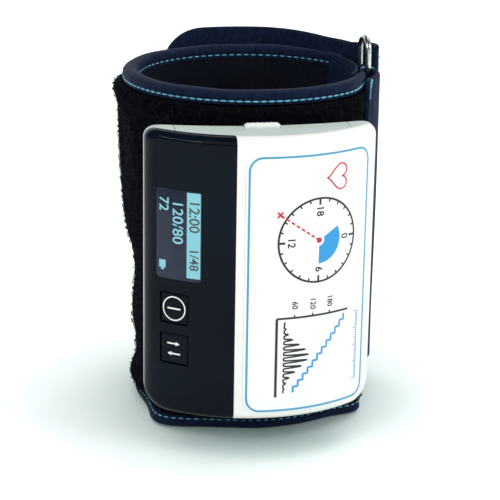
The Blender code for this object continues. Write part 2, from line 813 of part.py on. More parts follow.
def pillow(name, rows):
    """A solid from like rows of columns, one behind the other; its ends follow the columns."""
    shape = bmesh.new()
    grid = [[(shape.verts.new(low), shape.verts.new(high)) for low, high in row] for row in rows]
    rings = [[low for low, _ in row] + [high for _, high in reversed(row)] for row in grid]
    count = len(rings[0])
    for first, second in zip(rings, rings[1:]):
        for i in range(count):
            j = (i + 1) % count
            shape.faces.new((first[i], first[j], second[j], second[i]))
    for row in (grid[0], grid[-1]):
        for (low, high), (next_low, next_high) in zip(row, row[1:]):
            shape.faces.new((low, next_low, next_high, high))
    return mesh_object(name, shape)


def housing_blank(name, inset):
    """The monitor's outer form, or the form this far inside it."""
    rounding = FACE_ROUND - inset / 2
    widest = UNIT_HALF_WIDTH - inset
    room = back_y(widest, inset) - face_y(widest, inset) - rounding
    chamfer = BACK_CHAMFER_SHARE * room

    def row(shrink, depth, side=0.0):
        half = UNIT_HALF_WIDTH - inset - shrink - side
        bottom = UNIT_BOTTOM + inset + shrink
        top = UNIT_TOP - inset - shrink
        low_corner = LOW_CORNER - inset - shrink
        high_corner = HIGH_CORNER - inset - shrink / 2
        columns = outline_columns(-half, half, bottom, top, low_corner, high_corner)
        return [tuple(Vector((x, depth(x), z)) for x, z in column) for column in columns]

    rows = [row(chamfer, lambda x: back_y(x, inset), BACK_SIDE_ROUND)]
    for i in range(ROUND_STEPS + 1):
        turn = math.pi / 2 * i / ROUND_STEPS
        side = BACK_SIDE_ROUND * (1 - math.sin(turn))
        depth = chamfer + (BACK_SIDE_SHARE - BACK_CHAMFER_SHARE) * room * (1 - math.cos(turn))
        rows.append(row(0.0, lambda x, depth=depth: back_y(x, inset + depth), side))
    for i in range(ROUND_STEPS + 1):
        turn = math.pi / 2 * i / ROUND_STEPS
        setback = rounding * (1 - math.sin(turn))
        shrink = rounding * (1 - math.cos(turn))
        rows.append(row(shrink, lambda x, setback=setback: face_y(x, inset) + setback))
    return pillow(name, rows)


def curved_plate(name, left, right, bottom, top, corner, outer, inner):
    """A plate that follows the face, between two depths; left and right are measured along the face."""
    rows = []
    for depth in (outer, inner):
        columns = outline_columns(left, right, bottom, top, corner, corner)
        rows.append([tuple(face_frame(s, z, depth).translation for s, z in column) for column in columns])
    return pillow(name, rows)


def pillars(name, places, radius, front, back, sides=TURN_STEPS // 2):
    """Like cylinders along Y at these (x, z) places, as one cutter."""
    shape = bmesh.new()
    for x, z in places:
        middle = Matrix.Translation((x, (front + back) / 2, z)) @ Matrix.Rotation(math.pi / 2, 4, "X")
        bmesh.ops.create_cone(
            shape,
            cap_ends=True,
            segments=sides,
            radius1=radius,
            radius2=radius,
            depth=back - front,
            matrix=middle,
        )
    return mesh_object(name, shape)


def ring_turned(name, profile, place, steps=TURN_STEPS):
    """A turned piece with a through bore: its profile is a closed loop clear of the axis."""
    mesh = bpy.data.meshes.new(name)
    count = len(profile)
    edges = [(i, (i + 1) % count) for i in range(count)]
    mesh.from_pydata([(r, 0, z) for r, z in profile], edges, [])
    piece = bpy.data.objects.new(name, mesh)
    bpy.context.scene.collection.objects.link(piece)
    piece.matrix_world = place
    screw = piece.modifiers.new("turn", "SCREW")
    screw.steps = steps
    screw.render_steps = steps
    screw.use_merge_vertices = True
    screw.merge_threshold = WELD_DISTANCE
    return piece


def tube(name, points, radius, sections=BEND_STEPS):
    """A soft tube on a smooth line from the first point to the last, which the middle ones steer."""
    curve = bpy.data.curves.new(name, "CURVE")
    curve.dimensions = "3D"
    curve.bevel_depth = radius
    curve.bevel_resolution = 2
    curve.use_fill_caps = True
    spline = curve.splines.new("POLY")
    spline.points.add(sections)
    a, b, c, d = [Vector(point) for point in points]
    for i, point in enumerate(spline.points):
        t = i / sections
        spot = a * (1 - t) ** 3 + b * (3 * t * (1 - t) ** 2) + c * (3 * t * t * (1 - t)) + d * t**3
        point.co = (*spot, 1.0)
    piece = bpy.data.objects.new(name, curve)
    bpy.context.scene.collection.objects.link(piece)
    return piece


def screw_places():
    """(x, z) of the four housing screws."""
    heights = (UNIT_BOTTOM + SCREW_MARGIN, UNIT_TOP - SCREW_MARGIN)
    return [(x, z) for z in heights for x in (-SCREW_X, SCREW_X)]


def make_housing(assembly):
    """Black panel, white cover, grey rear housing and the screws that hold them together."""
    front = face_y(0.0) - CUT_OVERRUN
    back = back_y(UNIT_HALF_WIDTH) + CUT_OVERRUN
    wide = UNIT_HALF_WIDTH + CUT_OVERRUN
    low = UNIT_BOTTOM - CUT_OVERRUN
    high = UNIT_TOP + CUT_OVERRUN
    cavity = housing_blank("cavity", SHELL_WALL)
    assembly.cut(cavity, pillars("bosses", screw_places(), BOSS_RADIUS, front, back))
    head_y = back_y(SCREW_X) - SCREW_RECESS
    shank_end = head_y - SCREW_HEAD - SCREW_SHANK
    shank_hole = SCREW_SHANK_RADIUS + SEAT_GAP
    head_hole = SCREW_HEAD_RADIUS + SEAT_GAP
    shanks = pillars("screw_holes", screw_places(), shank_hole, shank_end - SEAT_GAP, back)
    heads = pillars("head_recesses", screw_places(), head_hole, head_y - SCREW_HEAD - SEAT_GAP, back)

    def cover(name, left, right):
        piece = housing_blank(name, 0.0)
        region = slab(
            name + "_region", left, right, lambda x: front, lambda x: parting_y(x) - SEAT_GAP / 2, low, high
        )
        assembly.cut(piece, region, "INTERSECT")
        assembly.cut(piece, cavity)
        assembly.cut(piece, shanks)
        return piece

    panel = cover("display_panel", -wide, PANEL_SPLIT_X - SEAT_GAP / 2)
    opening = (WINDOW_LEFT, WINDOW_RIGHT, WINDOW_BOTTOM, WINDOW_TOP)
    window = curved_plate("display_window", *opening, WINDOW_CORNER, 0.0, WINDOW_WALL)
    grown = (
        WINDOW_LEFT - SEAT_GAP,
        WINDOW_RIGHT + SEAT_GAP,
        WINDOW_BOTTOM - SEAT_GAP,
        WINDOW_TOP + SEAT_GAP,
    )
    deep = SHELL_WALL + CUT_OVERRUN
    hole = curved_plate("window_hole", *grown, WINDOW_CORNER + SEAT_GAP, -CUT_OVERRUN, deep)
    assembly.cut(panel, hole)
    for name, height in (("start", START_BUTTON_Z), ("transfer", TRANSFER_BUTTON_Z)):
        size = (BUTTON_WIDTH + 2 * SEAT_GAP, 2 * deep, BUTTON_HEIGHT + 2 * SEAT_GAP)
        assembly.cut(panel, block(name + "_hole", size, face_frame(BUTTON_S, height)))
    assembly.add(panel, "monitor", "black_panel")
    assembly.add(window, "monitor", "clear_window")

    white = cover("front_cover", PANEL_SPLIT_X + SEAT_GAP / 2, wide)
    label = (LABEL_LEFT, LABEL_RIGHT, LABEL_BOTTOM, LABEL_TOP)
    foil = curved_plate("label_foil", *label, LABEL_CORNER, 0.0, LABEL_FOIL)
    grown = (
        LABEL_LEFT - SEAT_GAP,
        LABEL_RIGHT + SEAT_GAP,
        LABEL_BOTTOM - SEAT_GAP,
        LABEL_TOP + SEAT_GAP,
    )
    pocket = curved_plate(
        "label_pocket", *grown, LABEL_CORNER + SEAT_GAP, -CUT_OVERRUN, LABEL_FOIL + SEAT_GAP
    )
    assembly.cut(white, pocket)
    assembly.add(white, "monitor", "white_cover")
    assembly.add(foil, "monitor", "label_foil")

    rear = housing_blank("rear_housing", 0.0)
    region = slab(
        "rear_region", -wide, wide, lambda x: parting_y(x) + SEAT_GAP / 2, lambda x: back, low, high
    )
    assembly.cut(rear, region, "INTERSECT")
    assembly.cut(rear, cavity)
    assembly.cut(rear, shanks)
    assembly.cut(rear, heads)
    door_gap = slab(
        "door_gap",
        -DOOR_HALF_WIDTH,
        DOOR_HALF_WIDTH,
        lambda x: front,
        lambda x: back,
        UNIT_TOP - DOOR_WALL - SEAT_GAP,
        high,
    )
    assembly.cut(rear, door_gap)
    inside = back_y(0.0, deep)
    spout_hole = pillars(
        "spout_hole", [(0.0, PORT_Z)], SPOUT_RADIUS + SEAT_GAP, inside, back, TURN_STEPS
    )
    assembly.cut(rear, spout_hole)
    sockets = pillars("peg_sockets", peg_places(), PEG_RADIUS + SEAT_GAP, inside, back, TURN_STEPS)
    assembly.cut(rear, sockets)
    assembly.add(rear, "monitor", "grey_cover")

    for i, (x, z) in enumerate(screw_places()):
        profile = [
            (0, SCREW_HEAD),
            (SCREW_HEAD_RADIUS, SCREW_HEAD),
            (SCREW_HEAD_RADIUS, 0),
            (SCREW_SHANK_RADIUS, 0),
            (SCREW_SHANK_RADIUS, -SCREW_SHANK),
            (0, -SCREW_SHANK),
        ]
        place = toward((x, head_y - SCREW_HEAD, z), (0, 1, 0))
        screw = turned(f"housing_screw_{i + 1}", profile, place, TURN_STEPS // 2)
        assembly.add(screw, "monitor", "steel")


def make_door(assembly):
    """The grey battery door in the top end, its contact and its sprung latch."""
    front = face_y(0.0) - CUT_OVERRUN
    back = back_y(UNIT_HALF_WIDTH) + CUT_OVERRUN
    inner_z = UNIT_TOP - DOOR_WALL
    half = DOOR_HALF_WIDTH - SEAT_GAP
    assembly.add_body("door", (0.0, back_y(0.0), UNIT_TOP))
    door = housing_blank("battery_door", 0.0)
    region = slab(
        "door_region",
        -half,
        half,
        lambda x: parting_y(x) + SEAT_GAP / 2,
        lambda x: back,
        inner_z,
        UNIT_TOP + CUT_OVERRUN,
    )
    assembly.cut(door, region, "INTERSECT")
    for side in (-1, 1):
        middle = side * DOOR_TONGUE_X
        tongue = slab(
            f"door_tongue_{side + 2}",
            middle - DOOR_TONGUE_WIDTH / 2,
            middle + DOOR_TONGUE_WIDTH / 2,
            lambda x: back_y(x, SHELL_WALL + SEAT_GAP + DOOR_TONGUE_WALL),
            lambda x: back_y(x, SHELL_WALL + SEAT_GAP),
            inner_z - DOOR_TONGUE_LENGTH,
            inner_z + DOOR_WALL / 2,
            columns=2,
        )
        assembly.cut(door, tongue, "UNION")
    floor = UNIT_TOP - LATCH_SEAT
    recess_front = back_y(0.0) - LATCH_DEPTH - LATCH_TRAVEL - SEAT_GAP
    recess = slab(
        "latch_recess",
        -LATCH_HALF_WIDTH - SEAT_GAP,
        LATCH_HALF_WIDTH + SEAT_GAP,
        lambda x: recess_front,
        lambda x: back,
        floor - SEAT_GAP,
        UNIT_TOP + CUT_OVERRUN,
        columns=1,
    )
    assembly.cut(door, recess)
    assembly.add(door, "door", "grey_cover")

    contact = block(
        "door_contact",
        (CELL_SPACING + CONTACT_WIDTH, CONTACT_WIDTH, CONTACT_WALL),
        Matrix.Translation((0, CELL_Y, inner_z - SEAT_GAP - CONTACT_WALL / 2)),
    )
    assembly.add(contact, "door", "steel")

    assembly.add_body("latch", (0.0, back_y(0.0), UNIT_TOP))
    latch = slab(
        "door_latch",
        -LATCH_HALF_WIDTH,
        LATCH_HALF_WIDTH,
        lambda x: back_y(0.0) - LATCH_DEPTH,
        lambda x: back_y(0.0),
        floor,
        UNIT_TOP + LATCH_RISE - LATCH_STEP,
        columns=2,
    )
    step = slab(
        "latch_step",
        -LATCH_HALF_WIDTH + LATCH_STEP,
        LATCH_HALF_WIDTH - LATCH_STEP,
        lambda x: back_y(0.0) - LATCH_DEPTH + LATCH_STEP,
        lambda x: back_y(0.0) - LATCH_STEP / 2,
        floor + LATCH_SEAT / 2,
        UNIT_TOP + LATCH_RISE,
        columns=2,
    )
    assembly.cut(latch, step, "UNION")
    assembly.add(latch, "latch", "white_cover")


def make_electronics(assembly):
    """Board, display, switches, sensor and buzzer behind the black panel, and the two buttons."""

    def on_board(along, height, depth):
        return face_frame(BUTTON_S, height, depth) @ Matrix.Translation((along, 0, 0))

    board_height = UNIT_HEIGHT - 2 * BOARD_MARGIN
    board_middle = UNIT_BOTTOM + UNIT_HEIGHT / 2
    board = block(
        "main_board",
        (BOARD_WIDTH, BOARD_WALL, board_height),
        on_board(0.0, board_middle, BOARD_DEPTH + BOARD_WALL / 2),
    )
    assembly.add(board, "monitor", "board_green")
    window_s = (WINDOW_LEFT + WINDOW_RIGHT) / 2 - BUTTON_S
    display_width = WINDOW_RIGHT - WINDOW_LEFT + 2 * DISPLAY_BORDER
    display_height = WINDOW_TOP - WINDOW_BOTTOM + 2 * DISPLAY_BORDER
    display = block(
        "display_module",
        (display_width, DISPLAY_WALL, display_height),
        on_board(window_s, (WINDOW_BOTTOM + WINDOW_TOP) / 2, BOARD_DEPTH - SEAT_GAP - DISPLAY_WALL / 2),
        BUTTON_ROUND / 2,
    )
    assembly.add(display, "monitor", "inner_plastic")
    sensor = block(
        "pressure_sensor",
        (SENSOR_SIZE, SENSOR_HEIGHT, SENSOR_SIZE),
        on_board(SENSOR_ALONG, SENSOR_Z, BOARD_DEPTH - SEAT_GAP - SENSOR_HEIGHT / 2),
        BUTTON_ROUND,
    )
    assembly.add(sensor, "monitor", "inner_plastic")
    inward = Matrix.Rotation(-math.pi / 2, 4, "X")
    buzzer = rod(
        "buzzer",
        BUZZER_RADIUS,
        BUZZER_HEIGHT,
        on_board(BUZZER_ALONG, BUZZER_Z, BOARD_DEPTH - SEAT_GAP - BUZZER_HEIGHT) @ inward,
    )
    assembly.add(buzzer, "monitor", "inner_plastic")

    switch_top = BOARD_DEPTH - SEAT_GAP - SWITCH_BODY
    for name, height in (("start", START_BUTTON_Z), ("transfer", TRANSFER_BUTTON_Z)):
        switch = block(
            name + "_switch",
            (SWITCH_SIZE, SWITCH_BODY, SWITCH_SIZE),
            on_board(0.0, height, switch_top + SWITCH_BODY / 2),
            BUTTON_ROUND / 2,
        )
        assembly.add(switch, "monitor", "inner_plastic")
        assembly.add_body(name + "_button", face_frame(BUTTON_S, height).translation)
        stem_end = switch_top - BUTTON_TRAVEL - SEAT_GAP
        button = block(
            name + "_button",
            (BUTTON_WIDTH, BUTTON_WALL, BUTTON_HEIGHT),
            face_frame(BUTTON_S, height, BUTTON_SINK + BUTTON_WALL / 2),
            BUTTON_ROUND,
        )
        stem_start = BUTTON_SINK + BUTTON_WALL / 2
        stem = block(
            name + "_stem",
            (BUTTON_STEM, stem_end - stem_start, BUTTON_STEM),
            face_frame(BUTTON_S, height, (stem_start + stem_end) / 2),
        )
        assembly.cut(button, stem, "UNION")
        assembly.add(button, name + "_button", "black_panel")


def make_power(assembly):
    """Two AA cells on springs, on a shelf that crosses the housing."""
    inner_z = UNIT_TOP - DOOR_WALL
    cell_top = inner_z - 2 * SEAT_GAP - CONTACT_WALL
    cell_bottom = cell_top - CELL_NUB_HEIGHT - CELL_LENGTH
    plate_top = cell_bottom - SPRING_HEIGHT - 2 * SEAT_GAP
    shelf_top = plate_top - CONTACT_WALL - SEAT_GAP
    profile = [
        (0, CELL_LENGTH + CELL_NUB_HEIGHT),
        (CELL_NUB_RADIUS, CELL_LENGTH + CELL_NUB_HEIGHT),
        (CELL_NUB_RADIUS, CELL_LENGTH),
        (CELL_RADIUS - CELL_EDGE, CELL_LENGTH),
        (CELL_RADIUS, CELL_LENGTH - CELL_EDGE),
        (CELL_RADIUS, CELL_EDGE),
        (CELL_RADIUS - CELL_EDGE, 0),
        (0, 0),
    ]
    for i, side in enumerate((-1, 1)):
        x = side * CELL_SPACING / 2
        cell = turned(f"cell_{i + 1}", profile, Matrix.Translation((x, CELL_Y, cell_bottom)))
        assembly.add(cell, "monitor", "cell_jacket")
        low = plate_top + SEAT_GAP + SPRING_WIRE
        rise = SPRING_HEIGHT - 2 * SPRING_WIRE
        count = SPRING_TURNS * SPRING_STEPS
        curve = bpy.data.curves.new("cell_spring", "CURVE")
        curve.dimensions = "3D"
        curve.bevel_depth = SPRING_WIRE
        curve.bevel_resolution = 1
        curve.use_fill_caps = True
        spline = curve.splines.new("POLY")
        spline.points.add(count)
        for j, point in enumerate(spline.points):
            share = j / count
            radius = SPRING_BASE_RADIUS + (SPRING_TIP_RADIUS - SPRING_BASE_RADIUS) * share
            turn = 2 * math.pi * SPRING_TURNS * share
            spot = (x + radius * math.cos(turn), CELL_Y + radius * math.sin(turn), low + rise * share)
            point.co = (*spot, 1.0)
        spring = bpy.data.objects.new(f"cell_spring_{i + 1}", curve)
        bpy.context.scene.collection.objects.link(spring)
        assembly.add(spring, "monitor", "steel")
    contact = block(
        "lower_contact",
        (CELL_SPACING + 2 * SPRING_BASE_RADIUS, 2 * SPRING_BASE_RADIUS, CONTACT_WALL),
        Matrix.Translation((0, CELL_Y, plate_top - CONTACT_WALL / 2)),
    )
    assembly.add(contact, "monitor", "steel")

    inset = SHELL_WALL + SEAT_GAP
    shelf = slab(
        "battery_shelf",
        -SHELF_HALF_WIDTH,
        SHELF_HALF_WIDTH,
        lambda x: face_y(x, inset),
        lambda x: back_y(x, inset),
        shelf_top - SHELF_WALL,
        shelf_top,
        columns=HOUSING_COLUMNS // 2,
    )
    for side in (-1, 1):
        edges = sorted((side * SHELF_HALF_WIDTH, side * (SHELF_HALF_WIDTH - SHELF_SIDE_WALL)))
        wall = slab(
            f"shelf_side_{side + 2}",
            *edges,
            lambda x: face_y(x, inset + CELL_EDGE),
            lambda x: back_y(x, inset + CELL_EDGE),
            shelf_top - SHELF_WALL / 2,
            shelf_top + SHELF_SIDE_HEIGHT,
            columns=1,
        )
        assembly.cut(shelf, wall, "UNION")
    assembly.add(shelf, "monitor", "inner_plastic")


def make_pump(assembly):
    """Motor, rotor, pump head, manifold, valve with its plunger, and the soft tubes."""
    floor = UNIT_BOTTOM + SHELL_WALL + SEAT_GAP
    neck_top = MOTOR_LENGTH + MOTOR_NECK_HEIGHT
    bore = SHAFT_RADIUS + SEAT_GAP
    motor = turned(
        "pump_motor",
        [
            (0, neck_top - SHAFT_DEPTH - SEAT_GAP),
            (bore, neck_top - SHAFT_DEPTH - SEAT_GAP),
            (bore, neck_top),
            (MOTOR_NECK_RADIUS, neck_top),
            (MOTOR_NECK_RADIUS, MOTOR_LENGTH),
            (MOTOR_RADIUS - MOTOR_EDGE, MOTOR_LENGTH),
            (MOTOR_RADIUS, MOTOR_LENGTH - MOTOR_EDGE),
            (MOTOR_RADIUS, 0),
            (0, 0),
        ],
        Matrix.Translation((0, PUMP_Y, floor)),
    )
    assembly.add(motor, "monitor", "steel")
    cam_bottom = floor + neck_top + SEAT_GAP
    assembly.add_body("pump_rotor", (0.0, PUMP_Y, cam_bottom))
    rotor = rod(
        "pump_rotor", CAM_RADIUS, CAM_HEIGHT, Matrix.Translation((0, PUMP_Y, cam_bottom))
    )
    shaft = rod(
        "rotor_shaft",
        SHAFT_RADIUS,
        SHAFT_DEPTH + CAM_HEIGHT / 2 + SEAT_GAP,
        Matrix.Translation((0, PUMP_Y, cam_bottom - SEAT_GAP - SHAFT_DEPTH)),
        TURN_STEPS // 2,
    )
    crank = rod(
        "rotor_crank",
        CRANK_RADIUS,
        CRANK_HEIGHT + CAM_HEIGHT / 2,
        Matrix.Translation((CAM_THROW, PUMP_Y, cam_bottom + CAM_HEIGHT / 2)),
        TURN_STEPS // 2,
    )
    assembly.cut(rotor, shaft, "UNION")
    assembly.cut(rotor, crank, "UNION")
    assembly.add(rotor, "pump_rotor", "steel")

    head_bottom = cam_bottom + CAM_HEIGHT + SEAT_GAP
    head = block(
        "pump_head",
        (HEAD_WIDTH, HEAD_DEPTH, HEAD_HEIGHT),
        Matrix.Translation((0, PUMP_Y, head_bottom + HEAD_HEIGHT / 2)),
        HEAD_ROUND,
    )
    crank_room = rod(
        "crank_room",
        CAM_THROW + CRANK_RADIUS + SEAT_GAP,
        CRANK_HEIGHT + CUT_OVERRUN,
        Matrix.Translation((0, PUMP_Y, head_bottom - CUT_OVERRUN)),
    )
    assembly.cut(head, crank_room)
    manifold_bottom = PORT_Z - MANIFOLD_HEIGHT / 2
    outlet_start = head_bottom + HEAD_HEIGHT - HEAD_ROUND
    outlet = rod(
        "pump_outlet",
        HEAD_NIPPLE_RADIUS,
        manifold_bottom - SEAT_GAP - outlet_start,
        Matrix.Translation((0, PUMP_Y, outlet_start)),
        TURN_STEPS // 2,
    )
    assembly.cut(head, outlet, "UNION")
    assembly.add(head, "monitor", "inner_plastic")

    manifold_back = back_y(0.0, SHELL_WALL) - 2 * SEAT_GAP - SPOUT_FLANGE
    manifold_y = manifold_back - MANIFOLD_DEPTH / 2
    manifold = block(
        "air_manifold",
        (MANIFOLD_WIDTH, MANIFOLD_DEPTH, MANIFOLD_HEIGHT),
        Matrix.Translation((0, manifold_y, PORT_Z)),
        HEAD_ROUND,
    )
    nipples = rod(
        "manifold_nipples",
        NIPPLE_RADIUS,
        MANIFOLD_WIDTH + 2 * NIPPLE_LENGTH,
        toward((-MANIFOLD_WIDTH / 2 - NIPPLE_LENGTH, manifold_y, PORT_Z), (1, 0, 0)),
        TURN_STEPS // 2,
    )
    assembly.cut(manifold, nipples, "UNION")
    assembly.add(manifold, "monitor", "inner_plastic")
    nipple_tip = MANIFOLD_WIDTH / 2 + NIPPLE_LENGTH + SEAT_GAP

    valve_bore = PLUNGER_RADIUS + SEAT_GAP
    valve = turned(
        "valve_body",
        [
            (0, VALVE_LENGTH - PLUNGER_DEPTH - PLUNGER_TRAVEL - SEAT_GAP),
            (valve_bore, VALVE_LENGTH - PLUNGER_DEPTH - PLUNGER_TRAVEL - SEAT_GAP),
            (valve_bore, VALVE_LENGTH),
            (VALVE_RADIUS - CELL_EDGE, VALVE_LENGTH),
            (VALVE_RADIUS, VALVE_LENGTH - CELL_EDGE),
            (VALVE_RADIUS, 0),
            (0, 0),
        ],
        Matrix.Translation((VALVE_X, VALVE_Y, floor)),
    )
    assembly.add(valve, "monitor", "inner_plastic")
    assembly.add_body("valve_plunger", (VALVE_X, VALVE_Y, floor + VALVE_LENGTH))
    plunger = rod(
        "valve_plunger",
        PLUNGER_RADIUS,
        PLUNGER_DEPTH + PLUNGER_REACH,
        Matrix.Translation((VALVE_X, VALVE_Y, floor + VALVE_LENGTH - PLUNGER_DEPTH)),
        TURN_STEPS // 2,
    )
    assembly.add(plunger, "valve_plunger", "steel")
    valve_side = (VALVE_X - VALVE_RADIUS - SEAT_GAP, VALVE_Y, floor + VALVE_LENGTH / 2)
    reach = Vector((TUBE_STEER, 0, 0))
    start = Vector((nipple_tip, manifold_y, PORT_Z))
    end = Vector(valve_side)
    valve_tube = tube("valve_tube", (start, start + reach, end - reach, end), TUBE_RADIUS, BEND_STEPS * 2)
    assembly.add(valve_tube, "monitor", "silicone")
    sensor_frame = face_frame(BUTTON_S, SENSOR_Z, BOARD_DEPTH - SEAT_GAP - SENSOR_HEIGHT / 2)
    sensor_side = SENSOR_ALONG + SENSOR_SIZE / 2 + SEAT_GAP
    end = sensor_frame @ Vector((sensor_side, 0, 0))
    lead = sensor_frame @ Vector((sensor_side + TUBE_STEER / 2, 0, 0))
    start = Vector((-nipple_tip, manifold_y, PORT_Z))
    sensor_tube = tube("sensor_tube", (start, start - reach / 2, lead, end), SENSOR_TUBE_RADIUS)
    assembly.add(sensor_tube, "monitor", "silicone")


def make_port(assembly):
    """The monitor's air spout with its seal, and the grommet that it enters in the cuff."""
    flange_y = back_y(0.0, SHELL_WALL) - SEAT_GAP - SPOUT_FLANGE
    tip = back_y(0.0) + SPOUT_REACH - flange_y
    profile = [
        (SPOUT_BORE, tip),
        (SPOUT_COLLAR_RADIUS, tip),
        (SPOUT_COLLAR_RADIUS, tip - SPOUT_COLLAR),
        (SPOUT_RADIUS, tip - SPOUT_COLLAR),
        (SPOUT_RADIUS, SPOUT_FLANGE),
        (SPOUT_FLANGE_RADIUS, SPOUT_FLANGE),
        (SPOUT_FLANGE_RADIUS, 0),
        (SPOUT_BORE, 0),
    ]
    spout = ring_turned("air_spout", profile, toward((0, flange_y, PORT_Z), (0, 1, 0)))
    assembly.add(spout, "monitor", "inner_plastic")
    seal_y = flange_y + tip - SPOUT_COLLAR - SEAT_GAP - O_RING_RADIUS
    around = SPOUT_RADIUS + SEAT_GAP + O_RING_RADIUS
    turns = [-2 * math.pi * i / SEAL_STEPS for i in range(SEAL_STEPS)]
    circle = [(around + O_RING_RADIUS * math.cos(t), O_RING_RADIUS * math.sin(t)) for t in turns]
    seal = ring_turned("spout_seal", circle, toward((0, seal_y, PORT_Z), (0, 1, 0)))
    assembly.add(seal, "monitor", "rubber")

    flange_back = -ARM_HALF_DEPTH - inner_reach(FRONT_ANGLE)
    length = flange_back - plate_front_y(0.0)
    profile = [
        (GROMMET_BORE, length),
        (GROMMET_RADIUS, length),
        (GROMMET_RADIUS, GROMMET_FLANGE),
        (GROMMET_FLANGE_RADIUS, GROMMET_FLANGE),
        (GROMMET_FLANGE_RADIUS, 0),
        (GROMMET_BORE, 0),
    ]
    grommet = ring_turned("port_grommet", profile, toward((0, flange_back, PORT_Z), (0, -1, 0)))
    assembly.add(grommet, "cuff", "rubber")


def peg_places():
    """(x, z) of the plate's two locating pegs."""
    return [(-PEG_X, PEG_Z), (PEG_X, PEG_Z)]


def make_plate(assembly, velour):
    """The holder plate behind the monitor, with its pegs and rivets."""
    plate = slab(
        "holder_plate",
        -PLATE_HALF_WIDTH,
        PLATE_HALF_WIDTH,
        plate_front_y,
        plate_back_y,
        PLATE_BOTTOM,
        PLATE_TOP,
    )
    middle = plate_back_y(0.0) + PLATE_WALL / 2
    hole = pillars(
        "plate_hole",
        [(0.0, PORT_Z)],
        GROMMET_RADIUS + SEAT_GAP,
        middle - PLATE_WALL - CUT_OVERRUN,
        middle + CUT_OVERRUN,
        TURN_STEPS,
    )
    assembly.cut(plate, hole)
    peg_root = plate_front_y(PEG_X) + PLATE_WALL / 2
    peg_tip = plate_front_y(PEG_X) - PEG_HEIGHT
    pegs = pillars("pegs", peg_places(), PEG_RADIUS, peg_tip, peg_root, TURN_STEPS)
    assembly.cut(plate, pegs, "UNION")
    heights = (PLATE_BOTTOM + RIVET_MARGIN, PLATE_TOP - RIVET_MARGIN)
    centre = Vector((0.0, BACK_Y + BACK_RADIUS, 0.0))
    for i, (x, z) in enumerate((x, z) for z in heights for x in (-RIVET_X, RIVET_X)):
        spot = Vector((x, plate_front_y(x), z))
        outward = (spot - centre - Vector((0, 0, z))).normalized()
        profile = [
            (0, 0),
            (RIVET_RADIUS, 0),
            (RIVET_RADIUS, -RIVET_HEAD),
            (RIVET_SHANK_RADIUS, -RIVET_HEAD),
            (RIVET_SHANK_RADIUS, -RIVET_SHANK),
            (0, -RIVET_SHANK),
        ]
        place = toward(spot, outward)
        rivet = turned(f"plate_rivet_{i + 1}", profile, place, TURN_STEPS // 2)
        assembly.add(rivet, "cuff", "steel")
        sink = RIVET_HEAD + SEAT_GAP
        head_seat = rod(
            f"rivet_seat_{i + 1}",
            RIVET_RADIUS + SEAT_GAP,
            sink + CUT_OVERRUN,
            place @ Matrix.Translation((0, 0, -sink)),
            TURN_STEPS // 2,
        )
        deep = RIVET_SHANK + SEAT_GAP
        shank_hole = rod(
            f"rivet_hole_{i + 1}",
            RIVET_SHANK_RADIUS + SEAT_GAP,
            deep + CUT_OVERRUN,
            place @ Matrix.Translation((0, 0, -deep)),
            TURN_STEPS // 2,
        )
        assembly.cut(plate, head_seat)
        assembly.cut(plate, shank_hole)
        assembly.cut(velour, shank_hole)
    assembly.add(plate, "cuff", "inner_plastic")


def stand_at_origin(assembly):
    """Moves the root so that the origin lies at the bottom centre of the parts' box."""
    bpy.context.view_layer.update()
    graph = bpy.context.evaluated_depsgraph_get()
    points = []
    for piece in assembly.parts.objects:
        if piece.type == "EMPTY":
            continue
        evaluated = piece.evaluated_get(graph)
        mesh = evaluated.to_mesh()
        points += [evaluated.matrix_world @ vertex.co for vertex in mesh.vertices]
        evaluated.to_mesh_clear()
    low = [min(point[i] for point in points) for i in range(3)]
    high = [max(point[i] for point in points) for i in range(3)]
    assembly.root.location = (-(low[0] + high[0]) / 2, -(low[1] + high[1]) / 2, -low[2])
    bpy.context.view_layer.update()
    print("shift to the origin:", [round(value, 6) for value in assembly.root.location])
    for name, empty in assembly.bodies.items():
        print("body", name, [round(value, 6) for value in empty.matrix_world.translation])


def main():
    for old in list(bpy.data.objects):
        bpy.data.objects.remove(old)
    assembly = Assembly()
    assembly.add_body("cuff", (0.0, 0.0, 0.0))
    assembly.add_body("monitor", (0.0, back_y(0.0), PORT_Z))
    velour = make_cuff_walls(assembly)
    make_straps(assembly)
    make_ring(assembly)
    make_tail(assembly)
    make_plate(assembly, velour)
    make_port(assembly)
    make_housing(assembly)
    make_door(assembly)
    make_electronics(assembly)
    make_power(assembly)
    make_pump(assembly)
    stand_at_origin(assembly)


if __name__ == "__main__":
    main()
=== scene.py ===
"""Ambulatory blood pressure monitor on its arm cuff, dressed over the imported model."""

from __future__ import annotations

import json
import logging
import random
from dataclasses import dataclass
from enum import Enum
from functools import lru_cache
from math import ceil, cos, exp, pi, radians, sin, sqrt
from typing import Callable, ClassVar, Optional, Sequence

import bmesh
import bpy
from mathutils import Matrix, Vector


